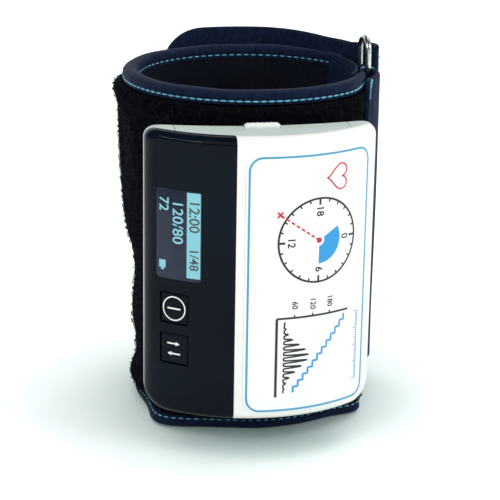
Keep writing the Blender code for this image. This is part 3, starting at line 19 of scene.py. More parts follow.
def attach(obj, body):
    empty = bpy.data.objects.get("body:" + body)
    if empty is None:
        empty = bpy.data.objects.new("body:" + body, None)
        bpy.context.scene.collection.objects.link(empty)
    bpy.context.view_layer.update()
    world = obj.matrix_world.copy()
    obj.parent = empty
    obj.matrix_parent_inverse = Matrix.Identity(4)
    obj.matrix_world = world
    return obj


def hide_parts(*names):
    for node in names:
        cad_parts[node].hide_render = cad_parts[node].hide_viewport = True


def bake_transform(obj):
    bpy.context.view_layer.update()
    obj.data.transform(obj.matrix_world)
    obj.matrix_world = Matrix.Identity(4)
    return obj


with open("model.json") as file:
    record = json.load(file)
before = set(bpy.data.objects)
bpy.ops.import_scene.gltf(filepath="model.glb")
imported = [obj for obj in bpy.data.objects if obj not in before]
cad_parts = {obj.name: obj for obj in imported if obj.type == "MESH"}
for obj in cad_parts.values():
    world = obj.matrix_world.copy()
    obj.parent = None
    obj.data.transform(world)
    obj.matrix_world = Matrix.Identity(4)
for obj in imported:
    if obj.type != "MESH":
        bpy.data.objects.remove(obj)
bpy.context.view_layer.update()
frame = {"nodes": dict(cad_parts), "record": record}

logging.basicConfig(level=logging.INFO, format="%(message)s")
log = logging.getLogger("monitor")

MM = 0.001
Pair = tuple[float, float]
Sizes = tuple[float, ...]
Line = Sequence[Vector]
Piece = bpy.types.Object
Material = bpy.types.Material
Socket = bpy.types.NodeSocket
Shape = bmesh.types.BMesh
Curve = Callable[[float], float]


def linear_colour(code: str) -> tuple[float, float, float, float]:
    """Turns an sRGB hex code into Blender's linear colour with an alpha of one.

    Args:
        code: the colour's six hex digits.

    Returns:
        The colour as a material's node takes it.
    """
    channels = [int(code[i : i + 2], 16) / 255 for i in (0, 2, 4)]
    red, green, blue = (c / 12.92 if c <= 0.04045 else ((c + 0.055) / 1.055) ** 2.4 for c in channels)
    return (red, green, blue, 1.0)


class NodeBuilder:
    """Adds nodes to a tree, each with its settings and its links."""

    def __init__(self, tree: bpy.types.NodeTree) -> None:
        """Works on this tree."""
        self.tree = tree

    def add(self, kind: str, links: Optional[dict] = None, **settings: object) -> bpy.types.Node:
        """Adds a node.

        Args:
            kind: the node's type.
            links: input name or number to a socket or a constant.
            settings: the node's own properties.

        Returns:
            The new node.
        """
        node = self.tree.nodes.new(kind)
        for key, value in settings.items():
            setattr(node, key, value)
        for key, value in (links or {}).items():
            self.feed(node, key, value)
        return node

    def feed(self, node: bpy.types.Node, key: object, value: object) -> None:
        """Links a socket to an input, or sets the input to a constant.

        Args:
            node: the node that takes the value.
            key: the input's name or number.
            value: the socket to link, or the constant.
        """
        if isinstance(value, Socket):
            self.tree.links.new(value, node.inputs[key])
        else:
            node.inputs[key].default_value = value

    def math(self, operation: str, *values: object) -> Socket:
        """One arithmetic step on sockets or numbers, and the socket with its result."""
        return self.add("ShaderNodeMath", dict(enumerate(values)), operation=operation).outputs[0]


class Painter(NodeBuilder):
    """One material under construction: patterns in millimetres that feed a Principled shader."""

    def __init__(self, name: str, cloth: bool = False) -> None:
        """Starts the material.

        Args:
            name: the real material's name.
            cloth: whether patterns follow the piece's cloth map, not the object's own space.
        """
        self.material = bpy.data.materials.new(name)
        self.material.use_nodes = True
        super().__init__(self.material.node_tree)
        self.shader = self.tree.nodes["Principled BSDF"]
        if cloth:
            self.place = self.add("ShaderNodeUVMap", uv_map="cloth").outputs[0]
        else:
            own = self.add("ShaderNodeTexCoord").outputs["Object"]
            self.place = self.mapped(own, "Scale", (1 / MM, 1 / MM, 1 / MM))

    def mapped(self, place: Socket, how: str, amount: Sequence[float]) -> Socket:
        """Coordinates scaled or turned by an amount on each axis."""
        return self.add("ShaderNodeMapping", {"Vector": place, how: amount}).outputs[0]

    def axis(self, index: int) -> Socket:
        """One coordinate of the pattern's space."""
        return self.add("ShaderNodeSeparateXYZ", {0: self.place}).outputs[index]

    def stripes(self, value: Socket, turn: float) -> Socket:
        """Ridges along a coordinate, from 0 between them to 1 on their crowns."""
        return self.math("ABSOLUTE", self.math("SINE", self.math("MULTIPLY", value, turn)))

    def ramp(self, value: Socket, low: float, high: float) -> Socket:
        """A soft change from 0 at low to 1 at high."""
        links = {"Value": value, "From Min": low, "From Max": high}
        return self.add("ShaderNodeMapRange", links, interpolation_type="SMOOTHSTEP").outputs[0]

    def mix(self, share: object, first: object, second: object) -> Socket:
        """A colour between two hex codes or colour sockets, by the share of the second.

        Args:
            share: how much of the second shows, as a number or a socket.
            first: the first colour.
            second: the second colour.

        Returns:
            The mixed colour.
        """
        node = self.add("ShaderNodeMix", {0: share}, data_type="RGBA")
        for index, value in ((6, first), (7, second)):
            self.feed(node, index, linear_colour(value) if isinstance(value, str) else value)
        return node.outputs[2]

    def noise(self, per_mm: float, detail: float = 3.0, stretch: Sequence[float] = ()) -> Socket:
        """Soft noise with this many waves in a millimetre, drawn out along an axis where asked.

        Args:
            per_mm: how many waves a millimetre holds.
            detail: how many finer layers are added.
            stretch: the scale along each axis; empty for an even noise.

        Returns:
            The noise's value.
        """
        place = self.mapped(self.place, "Scale", stretch) if stretch else self.place
        links = {"Vector": place, "Scale": per_mm, "Detail": detail}
        return self.add("ShaderNodeTexNoise", links).outputs[0]

    def cells(self, per_mm: float, distance: str = "EUCLIDEAN") -> Socket:
        """Distance from the middles of cells, with this many cells in a millimetre."""
        links = {"Vector": self.place, "Scale": per_mm}
        return self.add("ShaderNodeTexVoronoi", links, distance=distance).outputs["Distance"]

    def bump(self, height: Socket, depth: float, strength: float = 1.0) -> None:
        """Raises the surface by a height field, this many metres deep."""
        links = {"Height": height, "Distance": depth, "Strength": strength}
        self.feed(self.shader, "Normal", self.add("ShaderNodeBump", links).outputs[0])

    def set(self, **values: object) -> None:
        """Sets the Principled shader's inputs, named with underscores for spaces."""
        for key, value in values.items():
            value = linear_colour(value) if isinstance(value, str) else value
            self.feed(self.shader, key.replace("_", " "), value)


@dataclass(frozen=True)
class Surface:
    """A real material: its two colours and its roughness. Each kind covers a painter in its own way."""

    name: str
    colour: str
    shade: str
    roughness: float = 0.4
    cloth: ClassVar[bool] = False

    def build(self) -> Material:
        """Makes the material.

        Returns:
            The finished material.
        """
        paint = Painter(self.name, self.cloth)
        self.cover(paint)
        return paint.material

    def cover(self, paint: Painter) -> None:
        """Adds this kind's colours, gloss and relief."""
        raise NotImplementedError

    def patched(self, paint: Painter, value: Socket, low: float, high: float) -> None:
        """Colours the surface, with its shade where a value rises from low to high."""
        paint.set(Base_Color=paint.mix(paint.ramp(value, low, high), self.colour, self.shade))

    def uneven(self, paint: Painter, value: Socket, spread: float, lower: float) -> None:
        """Lets the roughness wander by a value, starting a little under its own."""
        paint.set(Roughness=paint.math("MULTIPLY_ADD", value, spread, self.roughness - lower))


@dataclass(frozen=True)
class MouldedPlastic(Surface):
    """Injection-moulded ABS with a fine spark-eroded grain and faint handling marks."""

    depth: float = 0.000012

    def cover(self, paint: Painter) -> None:
        """An even colour that drifts a little, and a grain that catches light.

        Args:
            paint: the painter of the material's nodes.
        """
        self.patched(paint, paint.noise(0.03, 2.0), 0.35, 0.7)
        self.uneven(paint, paint.noise(0.12), 0.12, 0.06)
        paint.set(IOR=1.53)
        paint.bump(paint.noise(5.0, 2.0), self.depth, 0.6)


@dataclass(frozen=True)
class GlossPanel(Surface):
    """High-gloss black panel with hair-fine wipe marks under its reflections."""

    def cover(self, paint: Painter) -> None:
        """Near-black, smooth, with a thin clear coat.

        Args:
            paint: the painter of the material's nodes.
        """
        self.patched(paint, paint.noise(0.02, 2.0), 0.3, 0.7)
        self.uneven(paint, paint.noise(1.0, 4.0, (6.0, 6.0, 0.35)), 0.05, 0.02)
        paint.set(IOR=1.52, Specular_IOR_Level=0.055, Coat_Weight=0.02, Coat_Roughness=0.04)
        paint.bump(paint.noise(0.05, 1.0), 0.00006, 0.35)


@dataclass(frozen=True)
class WovenNylon(Surface):
    """Woven nylon: crossing yarns in relief, with painted light on their crowns and painted shade between
    them, faint slubs.
    """

    roughness: float = 0.62
    twill: bool = True
    pitch: float = 0.6
    depth: float = 0.0001
    shine: float = 0.08
    cloth: ClassVar[bool] = True

    def cover(self, paint: Painter) -> None:
        """Lights the crowns of the yarns and raises them.

        Args:
            paint: the painter of the material's nodes.
        """
        turn = 2 * pi / self.pitch
        u, v = (paint.math("MULTIPLY", paint.axis(i), turn) for i in (0, 1))
        if self.twill:
            slant = paint.math("SINE", paint.math("ADD", u, v))
            cross = paint.math("SINE", paint.math("SUBTRACT", paint.math("MULTIPLY", u, 2.0), v))
            height = paint.math("MULTIPLY_ADD", paint.math("MULTIPLY_ADD", cross, 0.25, slant), 0.4, 0.5)
        else:
            over = paint.math("MULTIPLY", paint.math("SINE", u), paint.math("SINE", v))
            height = paint.math("ABSOLUTE", over)
        slub = paint.noise(0.5)
        # painted light on the yarns' crowns and painted shade between them, dimmed further where the slub
        # noise is low
        lit = paint.math("MULTIPLY", paint.ramp(height, -0.1, 0.9), paint.ramp(slub, 0.15, 0.75))
        paint.set(Base_Color=paint.mix(lit, self.shade, self.colour))
        paint.set(Roughness=self.roughness, IOR=1.5, Specular_IOR_Level=self.shine)
        paint.set(Sheen_Weight=0.05, Sheen_Roughness=0.4, Sheen_Tint=(0.45, 0.55, 0.9, 1.0))
        paint.bump(paint.math("ADD", height, paint.math("MULTIPLY", slub, 0.6)), self.depth)


@dataclass(frozen=True)
class LoopVelour(Surface):
    """Brushed loop velour: a dense dark pile with lighter loops standing out of it, its colour painted darker
    in its hollows as painted shade.
    """

    speck: str = "78829C"

    def cover(self, paint: Painter) -> None:
        """Matted tufts and fine loops with painted shade in the hollows between them, and scattered pale
        specks.

        Args:
            paint: the painter of the material's nodes.
        """
        tufts, fine = paint.noise(0.45, 4.0), paint.noise(2.2, 2.0)
        loops = paint.math("MULTIPLY", paint.cells(1.9), -0.8)
        pile = paint.math("ADD", paint.math("MULTIPLY", tufts, 1.2), loops)
        # painted shade: the colour falls to the darker shade where the pile is low
        base = paint.mix(paint.ramp(pile, -0.15, 0.75), self.shade, self.colour)
        bright = paint.math("MULTIPLY", paint.ramp(fine, 0.66, 0.76), paint.ramp(tufts, 0.45, 0.68))
        paint.set(Base_Color=paint.mix(bright, base, self.speck))
        paint.set(Roughness=0.95, IOR=1.45, Specular_IOR_Level=0.05)
        paint.set(Sheen_Weight=0.03, Sheen_Roughness=0.5, Sheen_Tint="6E7CA8")
        paint.bump(paint.math("ADD", pile, paint.math("MULTIPLY", fine, 0.7)), 0.00042)


@dataclass(frozen=True)
class HookTape(Surface):
    """Hook tape: rows of tiny stiff hooks on a woven ground."""

    cloth: ClassVar[bool] = True

    def cover(self, paint: Painter) -> None:
        """Dots in rows, with a painted highlight on their tips.

        Args:
            paint: the painter of the material's nodes.
        """
        height = paint.math("SUBTRACT", 0.6, paint.cells(0.75))
        # painted highlight: the lighter second colour on the hooks' tips
        self.patched(paint, height, 0.25, 0.5)
        paint.set(Roughness=0.55, IOR=1.5)
        paint.bump(height, 0.0003)


@dataclass(frozen=True)
class SpunThread(Surface):
    """Twisted polyester sewing thread."""

    def cover(self, paint: Painter) -> None:
        """Fine slanting plies with painted shade in the grooves between them, and a soft shine.

        Args:
            paint: the painter of the material's nodes.
        """
        links = {"Vector": paint.mapped(paint.place, "Rotation", (0.6, 0.3, 0.7)), "Scale": 2.4}
        plies = paint.add("ShaderNodeTexWave", {**links, "Distortion": 0.8}).outputs["Fac"]
        # painted shade: the darker cyan in the grooves between plies
        paint.set(Base_Color=paint.mix(plies, self.shade, self.colour), Roughness=0.5, IOR=1.5)
        paint.set(Sheen_Weight=0.2)
        paint.bump(plies, 0.00006)


@dataclass(frozen=True)
class BrightSteel(Surface):
    """Drawn or plated steel with fine lines along its length and dulled patches."""

    def cover(self, paint: Painter) -> None:
        """A full metal whose roughness wanders a little.

        Args:
            paint: the painter of the material's nodes.
        """
        worn = paint.noise(0.25, 4.0)
        self.patched(paint, worn, 0.4, 0.75)
        self.uneven(paint, worn, 0.22, 0.06)
        paint.set(Metallic=1.0)
        paint.bump(paint.noise(1.0, 3.0, (5.0, 5.0, 0.4)), 0.00001, 0.4)


@dataclass(frozen=True)
class SoftRubber(Surface):
    """Moulded rubber or silicone with a faint bloom."""

    roughness: float = 0.62
    clear: float = 0.0

    def cover(self, paint: Painter) -> None:
        """Matt, with a paler dust that gathers in patches.

        Args:
            paint: the painter of the material's nodes.
        """
        self.patched(paint, paint.noise(0.3, 4.0), 0.45, 0.8)
        paint.set(Roughness=self.roughness, IOR=1.45, Transmission_Weight=self.clear)
        paint.bump(paint.noise(4.0, 2.0), 0.00002)


@dataclass(frozen=True)
class PolyesterFilm(Surface):
    """Satin polyester label film with a fine orange-peel."""

    def cover(self, paint: Painter) -> None:
        """White, slightly cooler in broad patches.

        Args:
            paint: the painter of the material's nodes.
        """
        self.patched(paint, paint.noise(0.04, 2.0), 0.35, 0.7)
        paint.set(Roughness=self.roughness, IOR=1.57, Coat_Weight=0.15, Coat_Roughness=0.2)
        paint.bump(paint.noise(2.2, 2.0), 0.000015, 0.6)


@dataclass(frozen=True)
class ScreenInk(Surface):
    """Screen-printed ink, a hair uneven in its cover."""

    def cover(self, paint: Painter) -> None:
        """The ink's colour with tiny thin spots.

        Args:
            paint: the painter of the material's nodes.
        """
        spots = paint.noise(3.0)
        self.patched(paint, spots, 0.62, 0.85)
        paint.set(Roughness=0.42, IOR=1.5)
        paint.bump(spots, 0.000008, 0.5)


@dataclass(frozen=True)
class LitPixels(Surface):
    """Lit picture elements seen through the display window."""

    glow: float = 0.0

    def cover(self, paint: Painter) -> None:
        """A soft glow broken into a fine pixel grid.

        Args:
            paint: the painter of the material's nodes.
        """
        rows = paint.ramp(paint.stripes(paint.axis(2), 9.0), 0.0, 0.35)
        colour = paint.mix(rows, self.shade, self.colour)
        paint.set(Base_Color=colour, Emission_Color=colour, Emission_Strength=self.glow)
        paint.set(Roughness=0.12, IOR=1.5, Coat_Weight=0.5, Coat_Roughness=0.05)


@dataclass(frozen=True)
class SmokedWindow(Surface):
    """Smoked display window over a dark, faintly lit module."""

    def cover(self, paint: Painter) -> None:
        """Blue-grey dark glass with the module's faint grid behind it.

        Args:
            paint: the painter of the material's nodes.
        """
        cloud = paint.noise(0.06, 2.0)
        rows = paint.ramp(paint.stripes(paint.axis(2), 9.0), 0.0, 0.3)
        share = paint.math("MULTIPLY", paint.ramp(cloud, 0.3, 0.7), rows)
        paint.set(Base_Color=paint.mix(share, self.shade, self.colour))
        paint.set(Roughness=0.08, IOR=1.5, Specular_IOR_Level=0.08, Coat_Weight=0.05, Coat_Roughness=0.03)
        paint.bump(cloud, 0.00003, 0.3)


@dataclass(frozen=True)
class PrintedBoard(Surface):
    """Glass-epoxy circuit board under green solder mask, with traces in low relief."""

    def cover(self, paint: Painter) -> None:
        """Square-cornered traces from a cell pattern.

        Args:
            paint: the painter of the material's nodes.
        """
        trace = paint.ramp(paint.cells(0.7, "CHEBYCHEV"), 0.42, 0.48)
        paint.set(Base_Color=paint.mix(trace, self.colour, self.shade), Roughness=0.35, IOR=1.55)
        paint.bump(trace, 0.00004)


@dataclass(frozen=True)
class CellJacket(Surface):
    """Printed sleeve of a dry cell, with a dark band by its positive end."""

    band_z: float = 104.0

    def cover(self, paint: Painter) -> None:
        """Two plain bands of colour with a foil shine.

        Args:
            paint: the painter of the material's nodes.
        """
        self.patched(paint, paint.axis(2), self.band_z, self.band_z + 0.3)
        paint.set(Metallic=0.35, Roughness=0.3, IOR=1.5, Coat_Weight=0.4)
        paint.bump(paint.noise(0.8, 2.0), 0.00002)


class Finish(Enum):
    """Every finish of the object, by its real material."""

    WHITE_ABS = MouldedPlastic("white_abs", "F6F8F4", "F1F4EF", 0.34)
    GREY_ABS = MouldedPlastic("light_grey_abs", "CDDBD7", "C4D2CE", 0.44, 0.00002)
    DARK_ABS = MouldedPlastic("dark_grey_abs", "4A4F55", "3E4349", 0.5, 0.00003)
    BLACK_GLOSS = GlossPanel("black_gloss_panel", "060C15", "0A1420", 0.05)
    SMOKED = SmokedWindow("smoked_window", "343B4B", "272D3B")
    NYLON = WovenNylon("navy_nylon_tape", "172C50", "060B1A")
    # the lining's colours sit darker than the tape's: a plain-weave nylon lining, darkened further as painted
    # shade for the cuff's inside
    LINING = WovenNylon("navy_nylon_lining", "0C172D", "03060D", 0.46, False, 0.5, 0.00006, 0.12)
    VELOUR = LoopVelour("blue_black_velour", "080B12", "010203")
    PILE = LoopVelour("velour_loops", "0F1420", "05080E", speck="6C7690")
    HOOKS = HookTape("black_hook_tape", "10131F", "3A4058")
    THREAD = SpunThread("cyan_thread", "84DDF8", "52B4DC")
    STEEL = BrightSteel("bright_steel", "C4CAC6", "98A09C", 0.2)
    SCREW = BrightSteel("zinc_plated_steel", "B5B9B6", "8F938F", 0.28)
    RUBBER = SoftRubber("black_rubber", "1E2024", "34373C")
    SILICONE = SoftRubber("clear_silicone", "DCE3E2", "EEF2F1", 0.4, 0.35)
    FILM = PolyesterFilm("white_label_film", "FCFDFB", "F5F8F7")
    INK_CYAN = ScreenInk("cyan_ink", "3C9FC6", "6FBEDA")
    INK_BLUE = ScreenInk("blue_ink", "2097DA", "55A6DE")
    INK_RED = ScreenInk("red_ink", "C41F36", "D64A58")
    INK_BLACK = ScreenInk("black_ink", "101318", "2C3036")
    INK_WHITE = ScreenInk("white_ink", "F2F4F4", "D4D8DA")
    PIXELS = LitPixels("lit_pixels", "76BFCC", "3F7884", glow=0.18)
    PIXELS_DARK = LitPixels("unlit_pixels", "1B2230", "3F7884")
    BOARD = PrintedBoard("green_board", "1E5B3A", "2F7A50")
    JACKET = CellJacket("cell_jacket", "2F6DA8", "20242B")


@lru_cache(maxsize=None)
def material_of(finish: Finish) -> Material:
    """The material of a finish, built when it is first asked for."""
    return finish.value.build()


def dressed(piece: Piece, finish: Finish, body: str, node: str) -> Piece:
    """Gives a finished piece its material, its body and the CAD node that it stands for.

    Args:
        piece: the mesh object, with its place in its mesh.
        finish: what it is made of.
        body: the CAD body that it rides on; empty where it rides on none.
        node: the CAD node that it replaces; empty where it replaces none.

    Returns:
        The same piece.
    """
    if not piece.data.materials:
        piece.data.materials.append(material_of(finish))
    if body:
        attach(piece, body)
    if node:
        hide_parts(node)
    log.info("%s: %d faces", piece.name, len(piece.data.polygons))
    return piece


def link_object(name: str, mesh: bpy.types.Mesh) -> Piece:
    """A new object in the scene for a mesh.

    Args:
        name: the new object's name.
        mesh: the mesh that it shows.

    Returns:
        The new object.
    """
    piece = bpy.data.objects.new(name, mesh)
    bpy.context.scene.collection.objects.link(piece)
    return piece


def shaded(piece: Piece, angle: float) -> Piece:
    """Shades a piece smooth between the edges that turn by more than this many degrees.

    Args:
        piece: the piece to shade.
        angle: degrees past which an edge stays sharp.

    Returns:
        The same piece.
    """
    piece.data.shade_smooth()
    piece.data.set_sharp_from_angle(angle=radians(angle))
    return piece


def shape_object(name: str, shape: Shape, angle: float = 40.0, outward: bool = True) -> Piece:
    """Turns a bmesh into an object and frees it.

    Args:
        name: the piece's name.
        shape: its geometry.
        angle: degrees past which an edge stays sharp; flat faces throughout where it is zero.
        outward: whether the faces are turned to point out.

    Returns:
        The object.
    """
    if outward:
        bmesh.ops.recalc_face_normals(shape, faces=shape.faces)
    mesh = bpy.data.meshes.new(name)
    shape.to_mesh(mesh)
    shape.free()
    piece = link_object(name, mesh)
    return shaded(piece, angle) if angle else piece


def dropped(block: Piece | bpy.types.Mesh) -> None:
    """Removes a helper object with its mesh, or a mesh that nothing uses.

    Args:
        block: the object or the mesh to remove.
    """
    mesh = block
    if isinstance(block, Piece):
        mesh = block.data
        bpy.data.objects.remove(block)
    if mesh.users == 0:
        bpy.data.meshes.remove(mesh)


def baked(piece: Piece) -> Piece:
    """Applies a piece's modifiers to its mesh, so that nothing stays live.

    Args:
        piece: the piece whose modifiers are applied.

    Returns:
        The same piece.
    """
    graph = bpy.context.evaluated_depsgraph_get()
    mesh = bpy.data.meshes.new_from_object(piece.evaluated_get(graph), depsgraph=graph)
    old = piece.data
    piece.modifiers.clear()
    piece.data = mesh
    dropped(old)
    mesh.name = piece.name
    return piece


def smooth_step(value: float, start: float, end: float) -> float:
    """0 before start, 1 after end, with a soft change between."""
    share = min(max((value - start) / (end - start), 0.0), 1.0)
    return share * share * (3 - 2 * share)


def bell(value: float, middle: float, spread: float) -> float:
    """1 at the middle, falling off softly on both sides."""
    return exp(-(((value - middle) / spread) ** 2))


def spaced(start: float, end: float, count: int) -> list[float]:
    """Evenly spaced values, both ends included."""
    return [start + (end - start) * i / count for i in range(count + 1)]


def eased(points: Line, rounds: int = 1) -> list[Vector]:
    """A smoother line with the same ends, by cutting its corners once or more.

    Args:
        points: the line's points.
        rounds: how often its corners are cut.

    Returns:
        The smoother line.
    """
    line = list(points)
    for _ in range(rounds):
        finer = [line[0]]
        for first, second in zip(line, line[1:]):
            finer += [first.lerp(second, 0.25), first.lerp(second, 0.75)]
        line = finer + [line[-1]]
    return line


def heading(path: Line, i: int, closed: bool = False) -> Vector:
    """Which way a path runs at one of its points.

    Args:
        path: the path's points.
        i: the point's place in the path.
        closed: whether the path's end meets its start.

    Returns:
        The direction, of length one.
    """
    last = len(path) - 1
    ahead = path[(i + 1) % len(path)] if closed else path[min(i + 1, last)]
    behind = path[i - 1] if closed else path[max(i - 1, 0)]
    return (ahead - behind).normalized()


def skin(shape: Shape, rings: Sequence[Sequence[bmesh.types.BMVert]]) -> list[tuple]:
    """Sets faces between like rings of points, and gives each with its ring and its place.

    Args:
        shape: the mesh that takes the faces.
        rings: the rings, all with as many points.

    Returns:
        For each face: its ring's place, its own place in that ring, and the face.
    """
    made = []
    for r, (first, second) in enumerate(zip(rings, rings[1:])):
        for i in range(len(first)):
            j = (i + 1) % len(first)
            made.append((r, i, shape.faces.new((first[i], first[j], second[j], second[i]))))
    return made


def both_sides(rows: Sequence[Pair]) -> list[tuple[int, float, float]]:
    """Rows of (place, share) up one side and down the other, each with its side, 1 or -1."""
    return [(1, *row) for row in rows] + [(-1, *row) for row in rows[::-1]]


def loft(
    name: str,
    loops: Sequence[Line],
    cloth: bool = False,
    held: Optional[Callable[[int, int], bool]] = None,
) -> Piece:
    """A closed solid through a row of like loops, its two ends capped.

    Args:
        name: the piece's name.
        loops: the loops, in order along the piece.
        cloth: whether it gets a map in millimetres for a weave.
        held: a test of row and place in the loop, for a vertex group of that name.

    Returns:
        The object.
    """
    shape = bmesh.new()
    rows = [[shape.verts.new(point) for point in loop] for loop in loops]
    uv = shape.loops.layers.uv.new("cloth") if cloth else None
    count = len(rows[0])
    along = [0.0]
    for first, second in zip(loops, loops[1:]):
        steps = [(a - b).length for a, b in zip(first, second)]
        along.append(along[-1] + sum(steps) / len(steps) / MM)
    middle = loops[len(loops) // 2]
    around = [0.0]
    for i in range(count):
        around.append(around[-1] + (middle[(i + 1) % count] - middle[i]).length / MM)
    for r, i, face in skin(shape, rows):
        if uv:
            spots = ((r, i), (r, i + 1), (r + 1, i + 1), (r + 1, i))
            for corner, (a, b) in zip(face.loops, spots):
                corner[uv].uv = (along[a], around[b])
    for row in (rows[0], rows[-1]):
        face = shape.faces.new(row)
        if uv:
            for corner in face.loops:
                corner[uv].uv = (corner.vert.co.x / MM, corner.vert.co.z / MM)
    piece = shape_object(name, shape)
    if held:
        members = [r * count + i for r in range(len(rows)) for i in range(count) if held(r, i)]
        piece.vertex_groups.new(name="held").add(members, 1.0, "REPLACE")
    return piece


def tube(name: str, paths: Sequence[Line], radius: float, sides: int = 8, closed: bool = False) -> Piece:
    """A round wire or thread along some paths.

    Args:
        name: the piece's name.
        paths: lines of points.
        radius: the wire's radius.
        sides: how many faces go round it.
        closed: whether each path runs back to its start.

    Returns:
        The object.
    """
    shape = bmesh.new()
    turns = [2 * pi * j / sides for j in range(sides)]
    for path in paths:
        rings = []
        side = None
        for i, spot in enumerate(path):
            along = heading(path, i, closed)
            if side is None:
                side = along.orthogonal().normalized()
            side = (side - along * side.dot(along)).normalized()
            up = along.cross(side)
            ring = [spot + (side * cos(a) + up * sin(a)) * radius for a in turns]
            rings.append([shape.verts.new(point) for point in ring])
        if closed:
            best = min(range(sides), key=lambda j: (rings[0][j].co - rings[-1][0].co).length)
            rings.append(rings[0][best:] + rings[0][:best])
        else:
            shape.faces.new(rings[0])
            shape.faces.new(rings[-1])
        skin(shape, rings)
    return shape_object(name, shape)


def middle_shift() -> Vector:
    """From the arm's own axis, with the unit's middle at x = 0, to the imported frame.

    Returns:
        The way from the one origin to the other.
    """
    for joint in frame["record"]["behaviour"]["joints"]:
        if joint["name"] == "pump_rotor_spin":
            x, y, _ = joint["pos_m"]
            return Vector((x, y + 0.0646, 0.0))
    raise ValueError("the packed record has no pump rotor")


SHIFT = middle_shift()


def arc_radius(half: float, rise: float) -> float:
    """Radius of an arc from half its width and how far it rises."""
    return (half**2 + rise**2) / (2 * rise)


@dataclass(frozen=True)
class UnitForm:
    """The monitor's outer form: a curved face, a hollow back and the sizes of what lies on it."""

    half_width: float = 0.0445
    bottom: float = 0.0166
    top: float = 0.1286
    depth: float = 0.0211
    back_rise: float = 0.00675
    face_rise: float = 0.01955
    back_at: float = -0.0545
    low_corner: float = 0.008
    high_corner: float = 0.0045
    face_round: float = 0.0032
    side_round: float = 0.0036
    side_share: float = 0.4
    chamfer_share: float = 0.16
    shell: float = 0.002
    cover_depth: float = 0.0052
    split_x: float = -0.012
    gap: float = 0.0003

    @property
    def face_radius(self) -> float:
        """Radius of the curved face."""
        return arc_radius(self.half_width, self.face_rise)

    @property
    def centre_y(self) -> float:
        """Where the face's curve has its axis."""
        return self.back_at - self.depth + self.face_radius

    def back_y(self, x: float, inset: float = 0.0) -> float:
        """The hollow back, or a curve this far inside it."""
        radius = arc_radius(self.half_width, self.back_rise)
        return self.back_at + radius - sqrt((radius + inset) ** 2 - x * x)

    def face_y(self, x: float, inset: float = 0.0) -> float:
        """The curved face, or a curve this far inside it."""
        return self.centre_y - sqrt((self.face_radius - inset) ** 2 - x * x)

    def on_face(self, along: float, height: float, lift: float) -> Vector:
        """A point this far in front of the face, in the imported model's space.

        Args:
            along: the distance along the face's curve from its middle.
            height: the height of the point.
            lift: how far it stands in front of the face.

        Returns:
            The point.
        """
        turn = along / self.face_radius
        radius = self.face_radius + lift
        return Vector((radius * sin(turn), self.centre_y - radius * cos(turn), height)) + SHIFT


UNIT = UnitForm()


